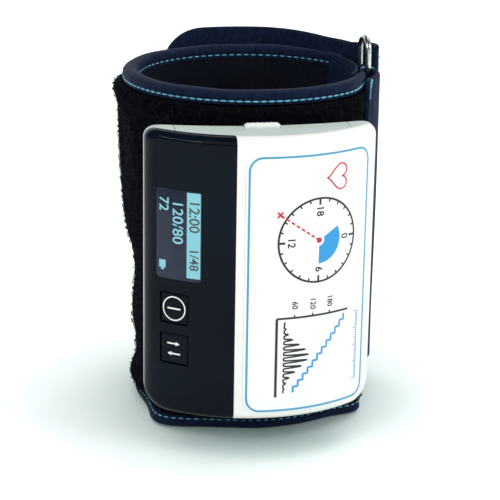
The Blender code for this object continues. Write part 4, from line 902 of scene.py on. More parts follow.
@dataclass(frozen=True)
class ArmForm:
    """The arm's hollow and the padded wall round it, open at the ring."""

    height: float = 0.14
    half_width: float = 0.0452
    half_depth: float = 0.0408
    centre_x: float = 0.0027
    left_taper: float = 0.0105
    back_taper: float = 0.006
    liner: float = 0.001
    bladder: float = 0.003
    padded: float = 0.01
    thin: float = 0.0032
    front_swell: float = 0.003
    binding: float = 0.006
    binding_height: float = 0.0054
    lap: float = 0.0006
    shoulder: float = 0.006
    crease_depth: float = 0.002
    crease_height: float = 0.058
    crease_spread: float = 0.014
    plate: float = 0.0016
    gap: float = 0.0003
    start: float = radians(24.5)
    end: float = radians(340.0)
    thin_until: float = radians(38.0)
    padded_from: float = radians(78.0)
    padded_until: float = radians(312.0)
    thin_from: float = radians(338.0)
    flare_at: float = radians(226.0)
    flare_spread: float = radians(17.0)
    flare_side: float = 0.0055
    flare_tip: float = 0.0085
    flare_height: float = 0.019
    roll_at: float = radians(322.0)
    roll_spread: float = radians(11.0)
    roll_reach: float = 0.0042

    @property
    def radius(self) -> float:
        """The mean radius of the arm's hollow."""
        return (self.half_width + self.half_depth) / 2

    def left_share(self, angle: float) -> float:
        """How far the wall here takes part in the lean of the left side."""
        return smooth_step(-cos(angle), -cos(self.padded_from), 1.0)

    def back_share(self, angle: float) -> float:
        """How far the wall here takes part in the lean of the back."""
        return smooth_step(sin(angle), sin(self.thin_until), 1.0)

    def point(self, angle: float, offset: float, height: float) -> Vector:
        """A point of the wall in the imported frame.

        Args:
            angle: from +X towards +Y, about the arm's axis.
            offset: metres outwards from the lining's inner face.
            height: metres above the table.

        Returns:
            The point.
        """
        lean = 1 - height / self.height
        x = self.centre_x + (self.half_width + offset) * cos(angle)
        y = (self.half_depth + offset) * sin(angle)
        x += lean * self.left_taper * self.left_share(angle)
        y -= lean * self.back_taper * self.back_share(angle)
        return Vector((x, y, height)) + SHIFT

    def pad_share(self, angle: float) -> float:
        """1 where the wall is padded, 0 where only two layers meet beside the ring."""
        rise = smooth_step(angle, self.thin_until, self.padded_from)
        return rise * (1 - smooth_step(angle, self.padded_until, self.thin_from))

    def binding_reach(self, angle: float) -> float:
        """Offset of the binding's outer face."""
        return self.thin + (self.binding - self.thin) * self.pad_share(angle)

    def inner_reach(self, angle: float) -> float:
        """Offset of the velour layer's inner face, outside the bladder."""
        return self.liner + self.gap + (self.bladder + self.gap) * self.pad_share(angle)

    def wall_reach(self, angle: float, height: float) -> float:
        """Offset of the velour's outer face, drawn in under the bindings, creased at the left.

        Args:
            angle: the place round the arm, in radians.
            height: the height above the cuff's lower edge.

        Returns:
            The offset from the arm's hollow.
        """
        front = exp(-(((angle - radians(270.0)) / radians(42.0)) ** 4))
        full = self.thin + (self.padded - self.thin) * self.pad_share(angle) + self.front_swell * front
        edge = min(height, self.height - height) - self.binding_height
        rise = min(max(edge / self.shoulder, 0.0), 1.0)
        bulge = sqrt(1 - (1 - rise) ** 2)
        fold = bell(height, self.crease_height, self.crease_spread)
        crease = self.crease_depth * self.left_share(angle) * fold
        tight = self.binding_reach(angle)
        return tight + (full - tight) * bulge - crease

    def flare(self, angle: float, height: float) -> Vector:
        """How far the soft lower edge is pulled out at the left corner and rolls out near the ring.

        Args:
            angle: the place round the arm, in radians.
            height: the height above the cuff's lower edge.

        Returns:
            The way from the plain place to the pulled one.
        """
        low = 1 - smooth_step(height, 0.0, self.flare_height)
        side = smooth_step(angle, radians(120), radians(180))
        side *= 1 - smooth_step(angle, radians(228), radians(262))
        tip = bell(angle, self.flare_at, self.flare_spread)
        left = Vector((-(self.flare_side * side + self.flare_tip * tip), -self.flare_tip * 0.55 * tip, 0.0))
        end = bell(angle, self.roll_at, self.roll_spread)
        return (left + Vector((1.0, -1.0, 0.0)) * self.roll_reach * end) * low

    def held_back(self, point: Vector, more: float = 0.0) -> Vector:
        """The point, pressed flat behind the unit's holder plate where it would reach into it.

        Args:
            point: the point to hold back.
            more: how much further back it has to stay.

        Returns:
            The point where it may lie.
        """
        x = point.x - SHIFT.x
        if abs(x) < UNIT.half_width:
            limit = UNIT.back_y(x, -2 * self.gap - self.plate) + SHIFT.y + more
            point.y = max(point.y, limit)
        return point


ARM = ArmForm()


class Ripple:
    """Seeded soft waves that make cloth uneven."""

    def __init__(self, seed: int, count: int = 7) -> None:
        """Draws this many waves.

        Args:
            seed: the seed of the random draws.
            count: how many waves are added up.
        """
        source = random.Random(seed)
        limits = ((2, 11), (-90, 90), (0, 6.28), (0.4, 1))
        self.waves = [[source.uniform(*pair) for pair in limits] for _ in range(count)]

    def at(self, angle: float, height: float) -> float:
        """The waves' sum here, about -1 to 1."""
        total = sum(a * sin(n * angle + k * height + p) for n, k, p, a in self.waves)
        return total / sqrt(len(self.waves))


class Spread(NodeBuilder):
    """Geometry Nodes that set copies of a small mesh on points, run once on a piece."""

    def __init__(self, name: str, sizes: dict[str, float]) -> None:
        """Starts a tree with these sizes as its inputs.

        Args:
            name: the tree's name.
            sizes: each size's name and value.
        """
        super().__init__(bpy.data.node_groups.new(name, "GeometryNodeTree"))
        self.sizes = sizes
        face = self.tree.interface
        for way in ("INPUT", "OUTPUT"):
            face.new_socket("Geometry", in_out=way, socket_type="NodeSocketGeometry")
        self.inputs = [face.new_socket(key, in_out="INPUT", socket_type="NodeSocketFloat") for key in sizes]
        self.given = self.add("NodeGroupInput").outputs

    def run(self, piece: Piece, points: Socket, copied: Socket, finish: Finish, **turned: Socket) -> Piece:
        """Turns a piece into the copies.

        Args:
            piece: what the points come from.
            points: where the copies stand.
            copied: the mesh that is copied.
            finish: what the copies are made of.
            turned: the copies' rotation and, where they differ, their scale.

        Returns:
            The piece, with the copies as its mesh.
        """
        links = {"Points": points, "Instance": copied, **turned}
        placed = self.add("GeometryNodeInstanceOnPoints", links).outputs[0]
        real = self.add("GeometryNodeRealizeInstances", {"Geometry": placed}).outputs[0]
        links = {"Geometry": real, "Material": material_of(finish)}
        self.add("NodeGroupOutput", {"Geometry": self.add("GeometryNodeSetMaterial", links).outputs[0]})
        modifier = piece.modifiers.new("copies", "NODES")
        modifier.node_group = self.tree
        for socket, size in zip(self.inputs, self.sizes.values()):
            modifier[socket.identifier] = size
        baked(piece)
        piece.data.shade_smooth()
        return piece


@dataclass
class StitchLine:
    """A row of stitches along a path."""

    length: float = 0.0026
    width: float = 0.00082
    pitch: float = 0.0031

    def sew(self, name: str, paths: Sequence[Line], body: str) -> Piece:
        """Sews stitches along some open lines of points, and gives them as one mesh on a body.

        Args:
            name: the piece's name.
            paths: the lines that the stitches follow.
            body: the CAD body that it rides on; empty where it rides on none.

        Returns:
            The stitches, as one piece.
        """
        mesh = bpy.data.meshes.new(name)
        points: list[Vector] = []
        edges: list[tuple[int, int]] = []
        for path in paths:
            first = len(points)
            points += list(path)
            edges += [(first + i, first + i + 1) for i in range(len(path) - 1)]
        mesh.from_pydata(points, edges, [])
        row = Spread("stitch_row", {"Pitch": self.pitch, "Length": self.length, "Width": self.width})
        curve = row.add("GeometryNodeMeshToCurve", {"Mesh": row.given["Geometry"]}).outputs[0]
        links = {"Curve": curve, "Length": row.given["Pitch"]}
        spots = row.add("GeometryNodeResampleCurve", links, mode="LENGTH").outputs[0]
        tangent = row.add("GeometryNodeInputTangent").outputs[0]
        turn = row.add("FunctionNodeAlignRotationToVector", {"Vector": tangent}, axis="X").outputs[0]
        ball = row.add("GeometryNodeMeshUVSphere", {"Segments": 8, "Rings": 6, "Radius": 0.5}).outputs["Mesh"]
        wide = row.given["Width"]
        size = row.add("ShaderNodeCombineXYZ", {0: row.given["Length"], 1: wide, 2: wide}).outputs[0]
        stitch = row.add("GeometryNodeTransform", {"Geometry": ball, "Scale": size}).outputs[0]
        piece = row.run(link_object(name, mesh), spots, stitch, Finish.THREAD, Rotation=turn)
        return dressed(piece, Finish.THREAD, body, "")


@dataclass
class PileField:
    """Tiny loops that stand out of the velour."""

    density: float = 420000.0
    seed: int = 7
    height: float = 0.00055
    width: float = 0.00085
    thread: float = 0.00009

    def loop_mesh(self) -> Piece:
        """One loop: a three-sided thread bent into an arch, its feet at the origin's plane.

        Returns:
            The loop, as a helper object.
        """
        shape = bmesh.new()
        rings = []
        for turn in spaced(0.0, pi, 3):
            outward = Vector((cos(turn), 0.0, sin(turn)))
            middle = Vector((self.width / 2 * outward.x, 0.0, self.height * outward.z))
            ring = []
            for j in range(3):
                a = 2 * pi * j / 3
                spot = middle + (outward * cos(a) + Vector((0, 1, 0)) * sin(a)) * self.thread
                ring.append(shape.verts.new(spot))
            rings.append(ring)
        skin(shape, rings)
        return shape_object("velour_loop", shape)

    def scatter(self, ground: Piece) -> None:
        """Turns an open mesh of the velour's outer face into loops that are scattered over it.

        Args:
            ground: the mesh that the loops stand on.
        """
        loop = self.loop_mesh()
        field = Spread("velour_pile", {"Density": self.density})
        links = {"Mesh": field.given["Geometry"], "Density": field.given["Density"], "Seed": self.seed}
        spots = field.add("GeometryNodeDistributePointsOnFaces", links).outputs
        links = {"Min": (-0.5, -0.5, 0.0), "Max": (0.5, 0.5, 6.28), "Seed": self.seed + 1}
        spin = field.add("FunctionNodeRandomValue", links, data_type="FLOAT_VECTOR").outputs["Value"]
        size = field.add("FunctionNodeRandomValue", {2: 0.6, 3: 1.5, "Seed": self.seed + 2}).outputs[1]
        links = {"Rotation": spots["Rotation"], "Rotate By": spin}
        turn = field.add("FunctionNodeRotateRotation", links, rotation_space="LOCAL").outputs[0]
        shown = field.add("GeometryNodeObjectInfo", {"Object": loop}).outputs["Geometry"]
        field.run(ground, spots["Points"], shown, Finish.PILE, Rotation=turn, Scale=size)
        dropped(loop)
        dressed(ground, Finish.PILE, "cuff", "")


@dataclass
class CuffWalls:
    """The padded velour wall, its lining and the two binding tapes with their seams."""

    wall_steps: int = 168
    tape_steps: int = 380
    outer_rows: int = 34
    inner_rows: int = 9
    edge_rows: int = 3
    frames: int = 20
    swell_cap: float = 0.0012
    seam_depth: float = 0.0042
    seam_sink: float = 0.00045
    rim_round: float = 0.0024
    tape_rows: Sizes = (0.0054, 0.005, 0.0046, 0.0042, 0.0038, 0.0034, 0.0029)

    def build(self) -> None:
        """Makes every layer of the wall."""
        low = ARM.binding_height + ARM.gap
        self.lining(low, ARM.height - low)
        self.velour(low, ARM.height - low)
        self.binding("bottom_binding", Ripple(31), False)
        self.binding("top_binding", Ripple(29), True)
        self.seams()

    def lining(self, low: float, high: float) -> None:
        """The inner nylon, with shallow folds where it stands away from the bladder.

        Args:
            low: the height of the lower edge.
            high: the height of the upper edge.
        """
        heights = spaced(low, high, 26)
        ripple = Ripple(3)
        loops = []
        for angle in spaced(ARM.start, ARM.end, 200):
            loop = []
            for height in heights:
                edge = smooth_step(min(height - low, high - height), 0.0, 0.02)
                fold = 0.0014 * edge * max(ripple.at(angle * 1.6, height), 0.0)
                loop.append(ARM.point(angle, -fold, height))
            loops.append(loop + [ARM.point(angle, ARM.liner * 0.9, height) for height in (high, low)])
        piece = loft("lining", loops, cloth=True)
        dressed(piece, Finish.LINING, "cuff", "cuff_liner")

    def velour(self, low: float, high: float) -> None:
        """The padded wall: built slightly slack, blown up by a short cloth simulation, then piled.

        Args:
            low: the height of the lower edge.
            high: the height of the upper edge.
        """
        shares = spaced(0.0, 1.0, self.outer_rows - 1)
        heights = [low + (high - low) * (share - sin(2 * pi * share) / 9) for share in shares]
        angles = spaced(ARM.start, ARM.end, self.wall_steps)
        ripple, pucker = Ripple(11), Ripple(19, 5)
        loops = []
        for angle in angles:
            loop = []
            for height in heights:
                edge = min(height - low, high - height)
                fade = smooth_step(edge, 0.0, 0.01)
                gather = bell(edge, 0.004, 0.004) * sin(angle * 46 + 2 * pucker.at(angle, 0))
                uneven = 0.0006 * fade * ripple.at(angle, height) + 0.00035 * gather - 0.0004 * fade
                offset = ARM.wall_reach(angle, height) + ARM.pad_share(angle) * uneven
                loop.append(ARM.held_back(ARM.point(angle, offset, height) + ARM.flare(angle, height)))
            for height in spaced(high, low, self.inner_rows - 1):
                loop.append(ARM.held_back(ARM.point(angle, ARM.inner_reach(angle), height)))
            loops.append(loop)

        def pinned(row: int, place: int) -> bool:
            """Whether a point keeps its place: inside, at the ends, at the seams, behind the unit.

            Args:
                row: the section's place round the wall.
                place: the point's place in its section.

            Returns:
                True where it stays.
            """
            beside = self.edge_rows
            if not 2 <= place < self.outer_rows - 2 or not beside <= row <= self.wall_steps - beside:
                return True
            point = loops[row][place]
            return point.y < SHIFT.y and abs(point.x - SHIFT.x) < UNIT.half_width

        piece = loft("velour_wall", loops, held=pinned)
        self.inflate(piece)
        spots = iter([vertex.co.copy() for vertex in piece.data.vertices])
        self.pile([[next(spots) for _ in loop] for loop in loops], angles)
        piece.modifiers.new("finer", "SUBSURF").levels = 1
        baked(piece).data.shade_smooth()
        dressed(piece, Finish.VELOUR, "cuff", "cuff_velour")

    def inflate(self, piece: Piece) -> None:
        """Runs the cloth simulation on the slack wall and keeps its swelling within the cap.

        Args:
            piece: the slack wall.
        """
        before = [vertex.co.copy() for vertex in piece.data.vertices]
        cloth = piece.modifiers.new("cloth", "CLOTH")
        stiffness = {"tension_stiffness": 12, "compression_stiffness": 12, "shear_stiffness": 4}
        pressure = {"use_pressure": True, "uniform_pressure_force": 4, "shrink_min": -0.03}
        held = {"vertex_group_mass": "held", "bending_stiffness": 0.3, "quality": 4, "mass": 0.25}
        for key, value in {**stiffness, **pressure, **held}.items():
            setattr(cloth.settings, key, value)
        cloth.settings.effector_weights.gravity = 0
        cloth.collision_settings.use_collision = False
        cloth.point_cache.frame_start = 1
        cloth.point_cache.frame_end = self.frames
        scene = bpy.context.scene
        for number in range(1, self.frames + 1):
            scene.frame_set(number)
        swollen = piece.evaluated_get(bpy.context.evaluated_depsgraph_get())
        after = [vertex.co.copy() for vertex in swollen.to_mesh().vertices]
        swollen.to_mesh_clear()
        piece.modifiers.clear()
        scene.frame_set(1)
        most = 0.0
        for vertex, old, new in zip(piece.data.vertices, before, after):
            step = new - old
            if step.length > self.swell_cap:
                step = step.normalized() * self.swell_cap
            most = max(most, step.length)
            vertex.co = ARM.held_back(old + step)
        piece.data.update()
        log.info("cloth moved the velour by up to %.2f mm", most / MM)

    def pile(self, points: Sequence[Line], angles: Sequence[float]) -> None:
        """Sets loops on what shows of the wall's outer face.

        Args:
            points: the wall's sections, each with its outer face first.
            angles: each section's place round the arm, in radians.
        """
        shape = bmesh.new()
        grid = [[shape.verts.new(point) for point in row[: self.outer_rows]] for row in points]
        for r, (first, second) in enumerate(zip(grid, grid[1:])):
            for i in range(self.outer_rows - 1):
                middle = (first[i].co + second[i + 1].co) / 2 - SHIFT
                under_unit = middle.y < 0 and abs(middle.x) < 0.04 and 0.018 < middle.z < 0.122
                if angles[r] >= radians(118) and not under_unit:
                    shape.faces.new((first[i], second[i], second[i + 1], first[i + 1]))
        loose = [vertex for vertex in shape.verts if not vertex.link_faces]
        bmesh.ops.delete(shape, geom=loose, context="VERTS")
        PileField().scatter(shape_object("velour_pile", shape, 0.0, outward=False))

    def tape_section(self, angle: float, ripple: Ripple, top: bool) -> list[Pair]:
        """The upper or the lower binding's closed outline here, as (offset, height) pairs.

        Args:
            angle: the place round the arm, in radians.
            ripple: the small waves of the tape.
            top: whether it is the upper tape.

        Returns:
            The outline's pairs.
        """
        outer = ARM.binding_reach(angle)
        lap = -ARM.lap
        centre, half = (outer + lap) / 2, (outer - lap) / 2
        stitch = 0.5 + 0.5 * cos(2 * pi * angle * ARM.radius / StitchLine.pitch)
        sag = 0.00022 * (1 + ripple.at(angle, 0.0)) if top else 0.0
        rows = []
        for depth in self.tape_rows:
            drawn = self.seam_sink * bell(depth, self.seam_depth, 0.0009) * (0.55 + 0.45 * stitch)
            rows.append((drawn, depth))
        bend = spaced(0.0, pi, 9)[1:-1]
        over = [(centre - half * cos(a), self.rim_round * (1 - sin(a)) + sag) for a in bend]
        outside = [(outer - drawn, depth) for drawn, depth in rows[::-1]]
        outline = [(lap + drawn, depth) for drawn, depth in rows] + over + outside
        return [(offset, ARM.height - depth) for offset, depth in outline] if top else outline

    def binding(self, name: str, ripple: Ripple, top: bool) -> None:
        """One binding tape, folded over the edge of the wall.

        Args:
            name: the piece's name.
            ripple: the small waves of the tape.
            top: whether it is the upper tape.
        """
        loops = []
        for angle in spaced(ARM.start, ARM.end, self.tape_steps):
            outer = ARM.binding_reach(angle)
            loop = []
            for offset, height in self.tape_section(angle, ripple, top):
                pull = ARM.flare(angle, height) * smooth_step(offset, -ARM.lap, outer)
                loop.append(ARM.point(angle, offset, height) + pull)
            loops.append(loop)
        dressed(loft(name + "_tape", loops, cloth=True), Finish.NYLON, "cuff", name)

    def seams(self) -> None:
        """Cyan stitches through both tapes, seen inside and outside."""
        sink = self.seam_sink * 0.6
        shown, tight = [], []
        for height in (self.seam_depth, ARM.height - self.seam_depth):
            for inside in (False, True):
                path = []
                for angle in spaced(ARM.start + 0.03, ARM.end - 0.03, 300):
                    offset = -ARM.lap + sink if inside else ARM.binding_reach(angle) - sink
                    pull = Vector() if inside else ARM.flare(angle, height)
                    path.append(ARM.point(angle, offset, height) + pull)
                row = tight if inside or height < ARM.height / 2 else shown
                row.append(path)
        StitchLine(0.0028, 0.0007).sew("binding_stitches", shown, "cuff")
        StitchLine(0.0023, 0.0005).sew("binding_tight_stitches", tight, "cuff")


def rounded_rows(low: float, high: float, edge: float, count: int) -> list[Pair]:
    """Rows from low to high with what share of the full thickness each has, thinned at both edges.

    Args:
        low: the first row.
        high: the last row.
        edge: how far in from each end the full thickness starts.
        count: rows between the edges.

    Returns:
        Pairs of place and share.
    """
    turns = [pi / 2 * i / 4 for i in range(1, 4)]
    start = [(low + edge * (1 - cos(a)), sin(a)) for a in turns]
    middle = [(place, 1.0) for place in spaced(low + edge, high - edge, count)]
    end = [(low + high - place, share) for place, share in reversed(start)]
    return [(low, 0.12)] + start + middle + end + [(high, 0.12)]


@dataclass
class RingWork:
    """The long wire ring, the webbing sewn round it and the guard behind it."""

    angle: float = radians(7.0)
    wire: float = 0.0013
    spacing: float = 0.0091
    offset: float = 0.0042
    bottom: float = 0.0075
    stand: float = 0.011
    webbing: float = 0.002
    strap_bottom: float = 0.015
    margin: float = 0.0025
    bulge: float = 0.0016
    loop_reach: float = 0.0273
    guard: float = 0.0009
    guard_lap: float = 0.006
    guard_seam: float = 0.0035
    tack: float = 0.00042
    tack_lift: float = 0.00012

    @property
    def radius(self) -> float:
        """How far the ring is from the arm's axis."""
        return ARM.half_depth + self.offset

    def spot(self, along: float, offset: float) -> Vector:
        """A point beside the ring, at the table's height."""
        point = ARM.point(self.angle + along / self.radius, offset, ARM.height)
        return Vector((point.x, point.y, 0.0))

    def build(self) -> None:
        """Makes the ring, both straps with their bar-tacks and the guard."""
        self.ring()
        self.straps(self.strap_bottom, ARM.height - self.margin)
        self.skin_guard()

    def ring(self) -> None:
        """The polished wire, bent to a long loop."""
        front, rear = (self.spot(side * self.spacing / 2, self.offset) for side in (-1, 1))
        middle = (front + rear) / 2
        half = (rear - front).length / 2
        across = (rear - front).normalized() * half
        low = self.bottom + self.wire + half
        high = ARM.height + self.stand - self.wire - half
        path = []
        for centre, first, end in ((high, 0.0, low), (low, pi, high)):
            for turn in spaced(first, first + pi, 24):
                path.append(middle + across * cos(turn) + Vector((0, 0, centre + half * sin(turn))))
            for share in (0.25, 0.5, 0.75):
                height = centre + (end - centre) * share
                path.append(middle - across * cos(first) + Vector((0, 0, height)))
        piece = tube("ring_wire", [path], self.wire, 24, closed=True)
        dressed(piece, Finish.STEEL, "ring", "cuff_ring")

    def turn_round(self, wall_end: float) -> tuple[list[Pair], float]:
        """The run inside and the bend round one leg.

        Args:
            wall_end: the angle from the ring to where the wall ends on that side.

        Returns:
            (along, offset) pairs, and how far along the wall's end is.
        """
        bend = self.wire + ARM.gap + self.webbing / 2
        leg = self.spacing / 2
        reach = wall_end * self.radius - ARM.gap
        inner = self.offset - bend
        round_leg = [(leg - bend * sin(a), self.offset - bend * cos(a)) for a in spaced(0.0, pi, 16)]
        return [(reach, inner), ((reach + leg) / 2, inner)] + round_leg, reach

    def over_velour(self, along: float) -> float:
        """Offset of the front strap's middle where it lies on the velour."""
        angle = self.angle + 2 * pi - along / self.radius
        return ARM.wall_reach(angle, ARM.height / 2) + ARM.gap + self.webbing / 2

    def straps(self, low: float, high: float) -> None:
        """The loop that holds the ring and the tail's turn round it.

        Args:
            low: the height of the lower edge.
            high: the height of the upper edge.
        """
        top_run = self.offset + self.wire + ARM.gap + self.webbing / 2
        leg = self.spacing / 2
        pairs, reach = self.turn_round(self.angle + 2 * pi - ARM.end)
        landing = self.over_velour(reach)
        for share in spaced(0.0, 1.0, 12)[1:]:
            sag = self.bulge * sin(pi * share)
            pairs.append((leg + (reach - leg) * share, top_run + (landing - top_run) * share + sag))
        pairs += [(along, self.over_velour(along)) for along in spaced(reach, self.loop_reach, 16)[1:]]
        line = self.band("front_loop_webbing", [self.spot(-a, b) for a, b in pairs], "ring_loop", 41)
        bars = [(0.1, high, 0.37, high), (0.84, high - 0.0015, 0.92, high - 0.0075)]
        bars += [(0.7, high - 0.0008, 0.84, high - 0.0034), (0.84, low + 0.0085, 0.88, low + 0.0035)]
        self.tacks("front_loop_tacks", line, bars)
        pairs, reach = self.turn_round(ARM.start - self.angle)
        pairs.append(((reach + leg) / 2, top_run + self.bulge * 0.4))
        line = self.band("rear_turn_webbing", [self.spot(a, b) for a, b in pairs], "tail_strap", 43)
        bars = [(0.62, high - 0.0035, 0.62, high - 0.008), (0.62, low + 0.008, 0.62, low + 0.0035)]
        self.tacks("rear_turn_tacks", line, bars)

    def band(self, name: str, line: Line, node: str, seed: int) -> list[Vector]:
        """One webbing band that stands on a line, its edges rounded and a little uneven.

        Args:
            name: the piece's name.
            line: where it stands, seen from above.
            node: the CAD node it replaces.
            seed: fixes its unevenness.

        Returns:
            Its middle line, smoothed.
        """
        rows = rounded_rows(self.strap_bottom, ARM.height - self.margin, self.webbing * 0.45, 34)
        ripple = Ripple(seed)
        fine = eased(line)
        loops = []
        for i, spot in enumerate(fine):
            ahead = heading(fine, i)
            across = Vector((ahead.y, -ahead.x, 0.0))
            share = smooth_step(min(i, len(fine) - 1 - i), -1.0, 3.0)
            loop = []
            for side, height, thick in both_sides(rows):
                wave = 0.00012 * ripple.at(i * 0.11, height)
                reach = side * self.webbing / 2 * thick * (0.45 + 0.55 * share) + wave
                loop.append(spot + across * reach + Vector((0, 0, height)))
            loops.append(loop)
        dressed(loft(name, loops, cloth=True), Finish.NYLON, "cuff", node)
        return fine

    def tacks(self, name: str, line: Line, bars: Sequence[Sizes]) -> None:
        """Bar-tacks in cyan thread: short dense zigzags through the webbing.

        Args:
            name: the piece's name.
            line: the band's middle, seen from above.
            bars: share of the line and height where each starts and ends.
        """
        paths = []
        for start, first, end, last in bars:
            steps = max(int(abs(last - first) / 0.00045), 12)
            path = []
            for i, share in enumerate(spaced(0.0, 1.0, steps)):
                place = (start + (end - start) * share) * (len(line) - 1)
                index = min(int(place), len(line) - 2)
                spot = line[index].lerp(line[index + 1], place - index)
                ahead = (line[index + 1] - line[index]).normalized()
                out = Vector((ahead.y, -ahead.x, 0.0)) * (self.webbing / 2 + self.tack_lift)
                if out.dot(spot - SHIFT) < 0:
                    out = -out
                if first == last:
                    out = Vector((0, 0, self.tack_lift))
                side = ahead * (0.0006 if i % 2 else -0.0006)
                path.append(spot + out + side + Vector((0, 0, first + (last - first) * share)))
            paths.append(path)
        dressed(tube(name, paths, self.tack, 6), Finish.THREAD, "cuff", "")

    def skin_guard(self) -> None:
        """The thin flap inside that keeps the ring off the skin."""
        lap = self.guard_lap / ARM.half_width
        inner = -ARM.lap - ARM.gap - self.guard
        ripple = Ripple(47)
        rows = rounded_rows(0.0, ARM.height, self.guard * 0.5, 30)
        first = ARM.end - 2 * pi - lap
        loops = []
        for angle in spaced(first, ARM.start + lap, 40):
            loop = []
            for side, height, thick in both_sides(rows):
                wave = 0.00025 * max(ripple.at(angle, height), 0.0)
                loop.append(ARM.point(angle, inner + self.guard / 2 * (1 - side * thick) - wave, height))
            loops.append(loop)
        dressed(loft("guard_flap", loops, cloth=True), Finish.NYLON, "cuff", "skin_guard")
        angles = spaced(first + 0.02, first + 0.17, 20)
        heights = (self.guard_seam, ARM.height - self.guard_seam)
        paths = [[ARM.point(angle, inner - 0.0001, height) for angle in angles] for height in heights]
        StitchLine().sew("guard_stitches", paths, "cuff")


@dataclass
class Tail:
    """The tail that folds back through the ring and fastens over the velour."""

    wall: float = 0.0024
    bottom: float = 0.01
    rise: float = 0.005
    end: float = radians(122.0)
    corner: float = 0.018
    lean: float = 0.0026
    hook: float = 0.0006
    hook_start: float = radians(60.0)
    hook_margin: float = 0.008
    seam: float = 0.005
    bend: float = 0.008
    fold_rise: float = 0.0009
    fold_bottom: float = 0.004
    fold_lean: float = 0.001
    fold: tuple[Pair, ...] = ((8.2, 8.4), (11.0, 9.2), (14.0, 10.1), (18.5, 10.3), (21.5, 7.6))

    @property
    def top(self) -> float:
        """Its upper edge."""
        return ARM.height + self.rise

    @property
    def root(self) -> float:
        """Angle at which the fold ends and the part that peels off starts."""
        return ARM.start + 2 * ARM.gap / ARM.half_width

    @property
    def first(self) -> float:
        """Angle at which the loose fold starts."""
        return radians(self.fold[0][0])

    @property
    def radius(self) -> float:
        """How far its far end is from the arm's axis."""
        return ARM.half_depth + ARM.padded

    def reach(self, angle: float, height: float) -> float:
        """Offset of its inner face, which stands off in a loose fold and leans out at its top.

        Args:
            angle: the place round the arm, in radians.
            height: the height above the cuff's lower edge.

        Returns:
            The offset from the arm's hollow.
        """
        if angle < self.root:
            places = [(radians(a), offset * MM) for a, offset in self.fold]
            places.append((self.root, self.reach(self.root, height)))
            for (a, start), (b, stop) in zip(places, places[1:]):
                if angle <= b:
                    low = self.fold_lean * (1 - smooth_step(height, 0.09, 0.135))
                    lean = low * (1 - smooth_step(angle, a, self.root))
                    return start + (stop - start) * smooth_step(angle, a, b) - lean
        rest = max(ARM.wall_reach(angle, ARM.height / 2), ARM.thin) + 2 * ARM.gap + self.hook
        return rest + self.lean * smooth_step(height, ARM.height / 2, self.top) * ARM.back_share(angle)

    def ends(self, angle: float) -> Pair:
        """Its lower and upper edge here: narrower below at the fold, round at the far end's corners.

        Args:
            angle: the place round the arm, in radians.

        Returns:
            The heights of the two edges.
        """
        drop = max(self.corner - (self.end - angle) * self.radius, 0.0)
        cut = self.corner - sqrt(max(self.corner**2 - drop**2, 0.0))
        share = 1 - smooth_step(angle, self.first, self.root)
        low = self.bottom + (self.fold_bottom - self.bottom) * share
        return low + cut, self.top + self.fold_rise * share - cut

    def build(self) -> None:
        """Makes the tail, its seams and its hook patch."""
        ripple = Ripple(53)
        last = self.end - self.corner / self.radius
        close = [last + self.corner / self.radius * sin(pi / 2 * i / 14) for i in range(1, 14)]
        angles = spaced(self.first, self.root, 30)[:-1] + spaced(self.root, last, 70) + close
        loops = []
        for place, angle in enumerate(angles):
            low, high = self.ends(angle)
            thin = 0.4 + 0.6 * smooth_step(min(place, len(angles) - 1 - place), -0.5, 3.0)
            loop = []
            for side, height, thick in both_sides(rounded_rows(low, high, self.wall * 0.5, 40)):
                edge = min(height - low, high - height)
                crest = 0.0004 * smooth_step(edge, 0.0, 0.012) * max(ripple.at(angle, height), 0.0)
                more = 0.0 if side > 0 else crest - 0.00035 * bell(edge, self.seam, 0.0008)
                offset = self.reach(angle, height) + self.wall / 2 * (1 - side * thick * thin) + more * 0.6
                loop.append(ARM.point(angle, offset, height))
            loops.append(loop)
        piece = loft("tail_cloth", loops, cloth=True)
        dressed(piece, Finish.NYLON, "", "cuff_tail")
        seams = self.seams(angles)
        for bent in (piece, seams):
            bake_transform(bent)
        self.hooks(last)

    def seams(self, angles: Sequence[float]) -> Piece:
        """The row of stitches round its edge, not yet riding on anything, from its sections' angles.

        Args:
            angles: each section's place round the arm, in radians.

        Returns:
            The stitches, as one piece.
        """

        def spot(angle: float, height: float) -> Vector:
            """A stitch's place on the outer face."""
            return ARM.point(angle, self.reach(angle, height) + self.wall - 0.00005, height)

        rows = [a for a in angles if a < self.end - self.seam / self.radius]
        low = [spot(a, self.ends(a)[0] + self.seam) for a in rows]
        high = [spot(a, self.ends(a)[1] - self.seam) for a in rows]
        far = [spot(rows[-1], height) for height in spaced(low[-1].z, high[-1].z, 40)[1:-1]]
        return StitchLine().sew("tail_stitches", [low + far + high[::-1]], "")

    def hooks(self, last: float) -> None:
        """The hook patch on its inner face, up to where its corners start.

        Args:
            last: the angle where its corners start, in radians.
        """
        rows = spaced(self.bottom + self.hook_margin, ARM.height - 3 * ARM.shoulder, 24)
        loops = []
        for angle in spaced(self.hook_start, last, 40):
            loop = [ARM.point(angle, self.reach(angle, z) - ARM.gap - self.hook * 0.55, z) for z in rows]
            loop += [ARM.point(angle, self.reach(angle, z) - ARM.gap, z) for z in rows[::-1]]
            loops.append(loop)
        dressed(loft("hook_tape", loops, cloth=True), Finish.HOOKS, "tail", "hook_patch")


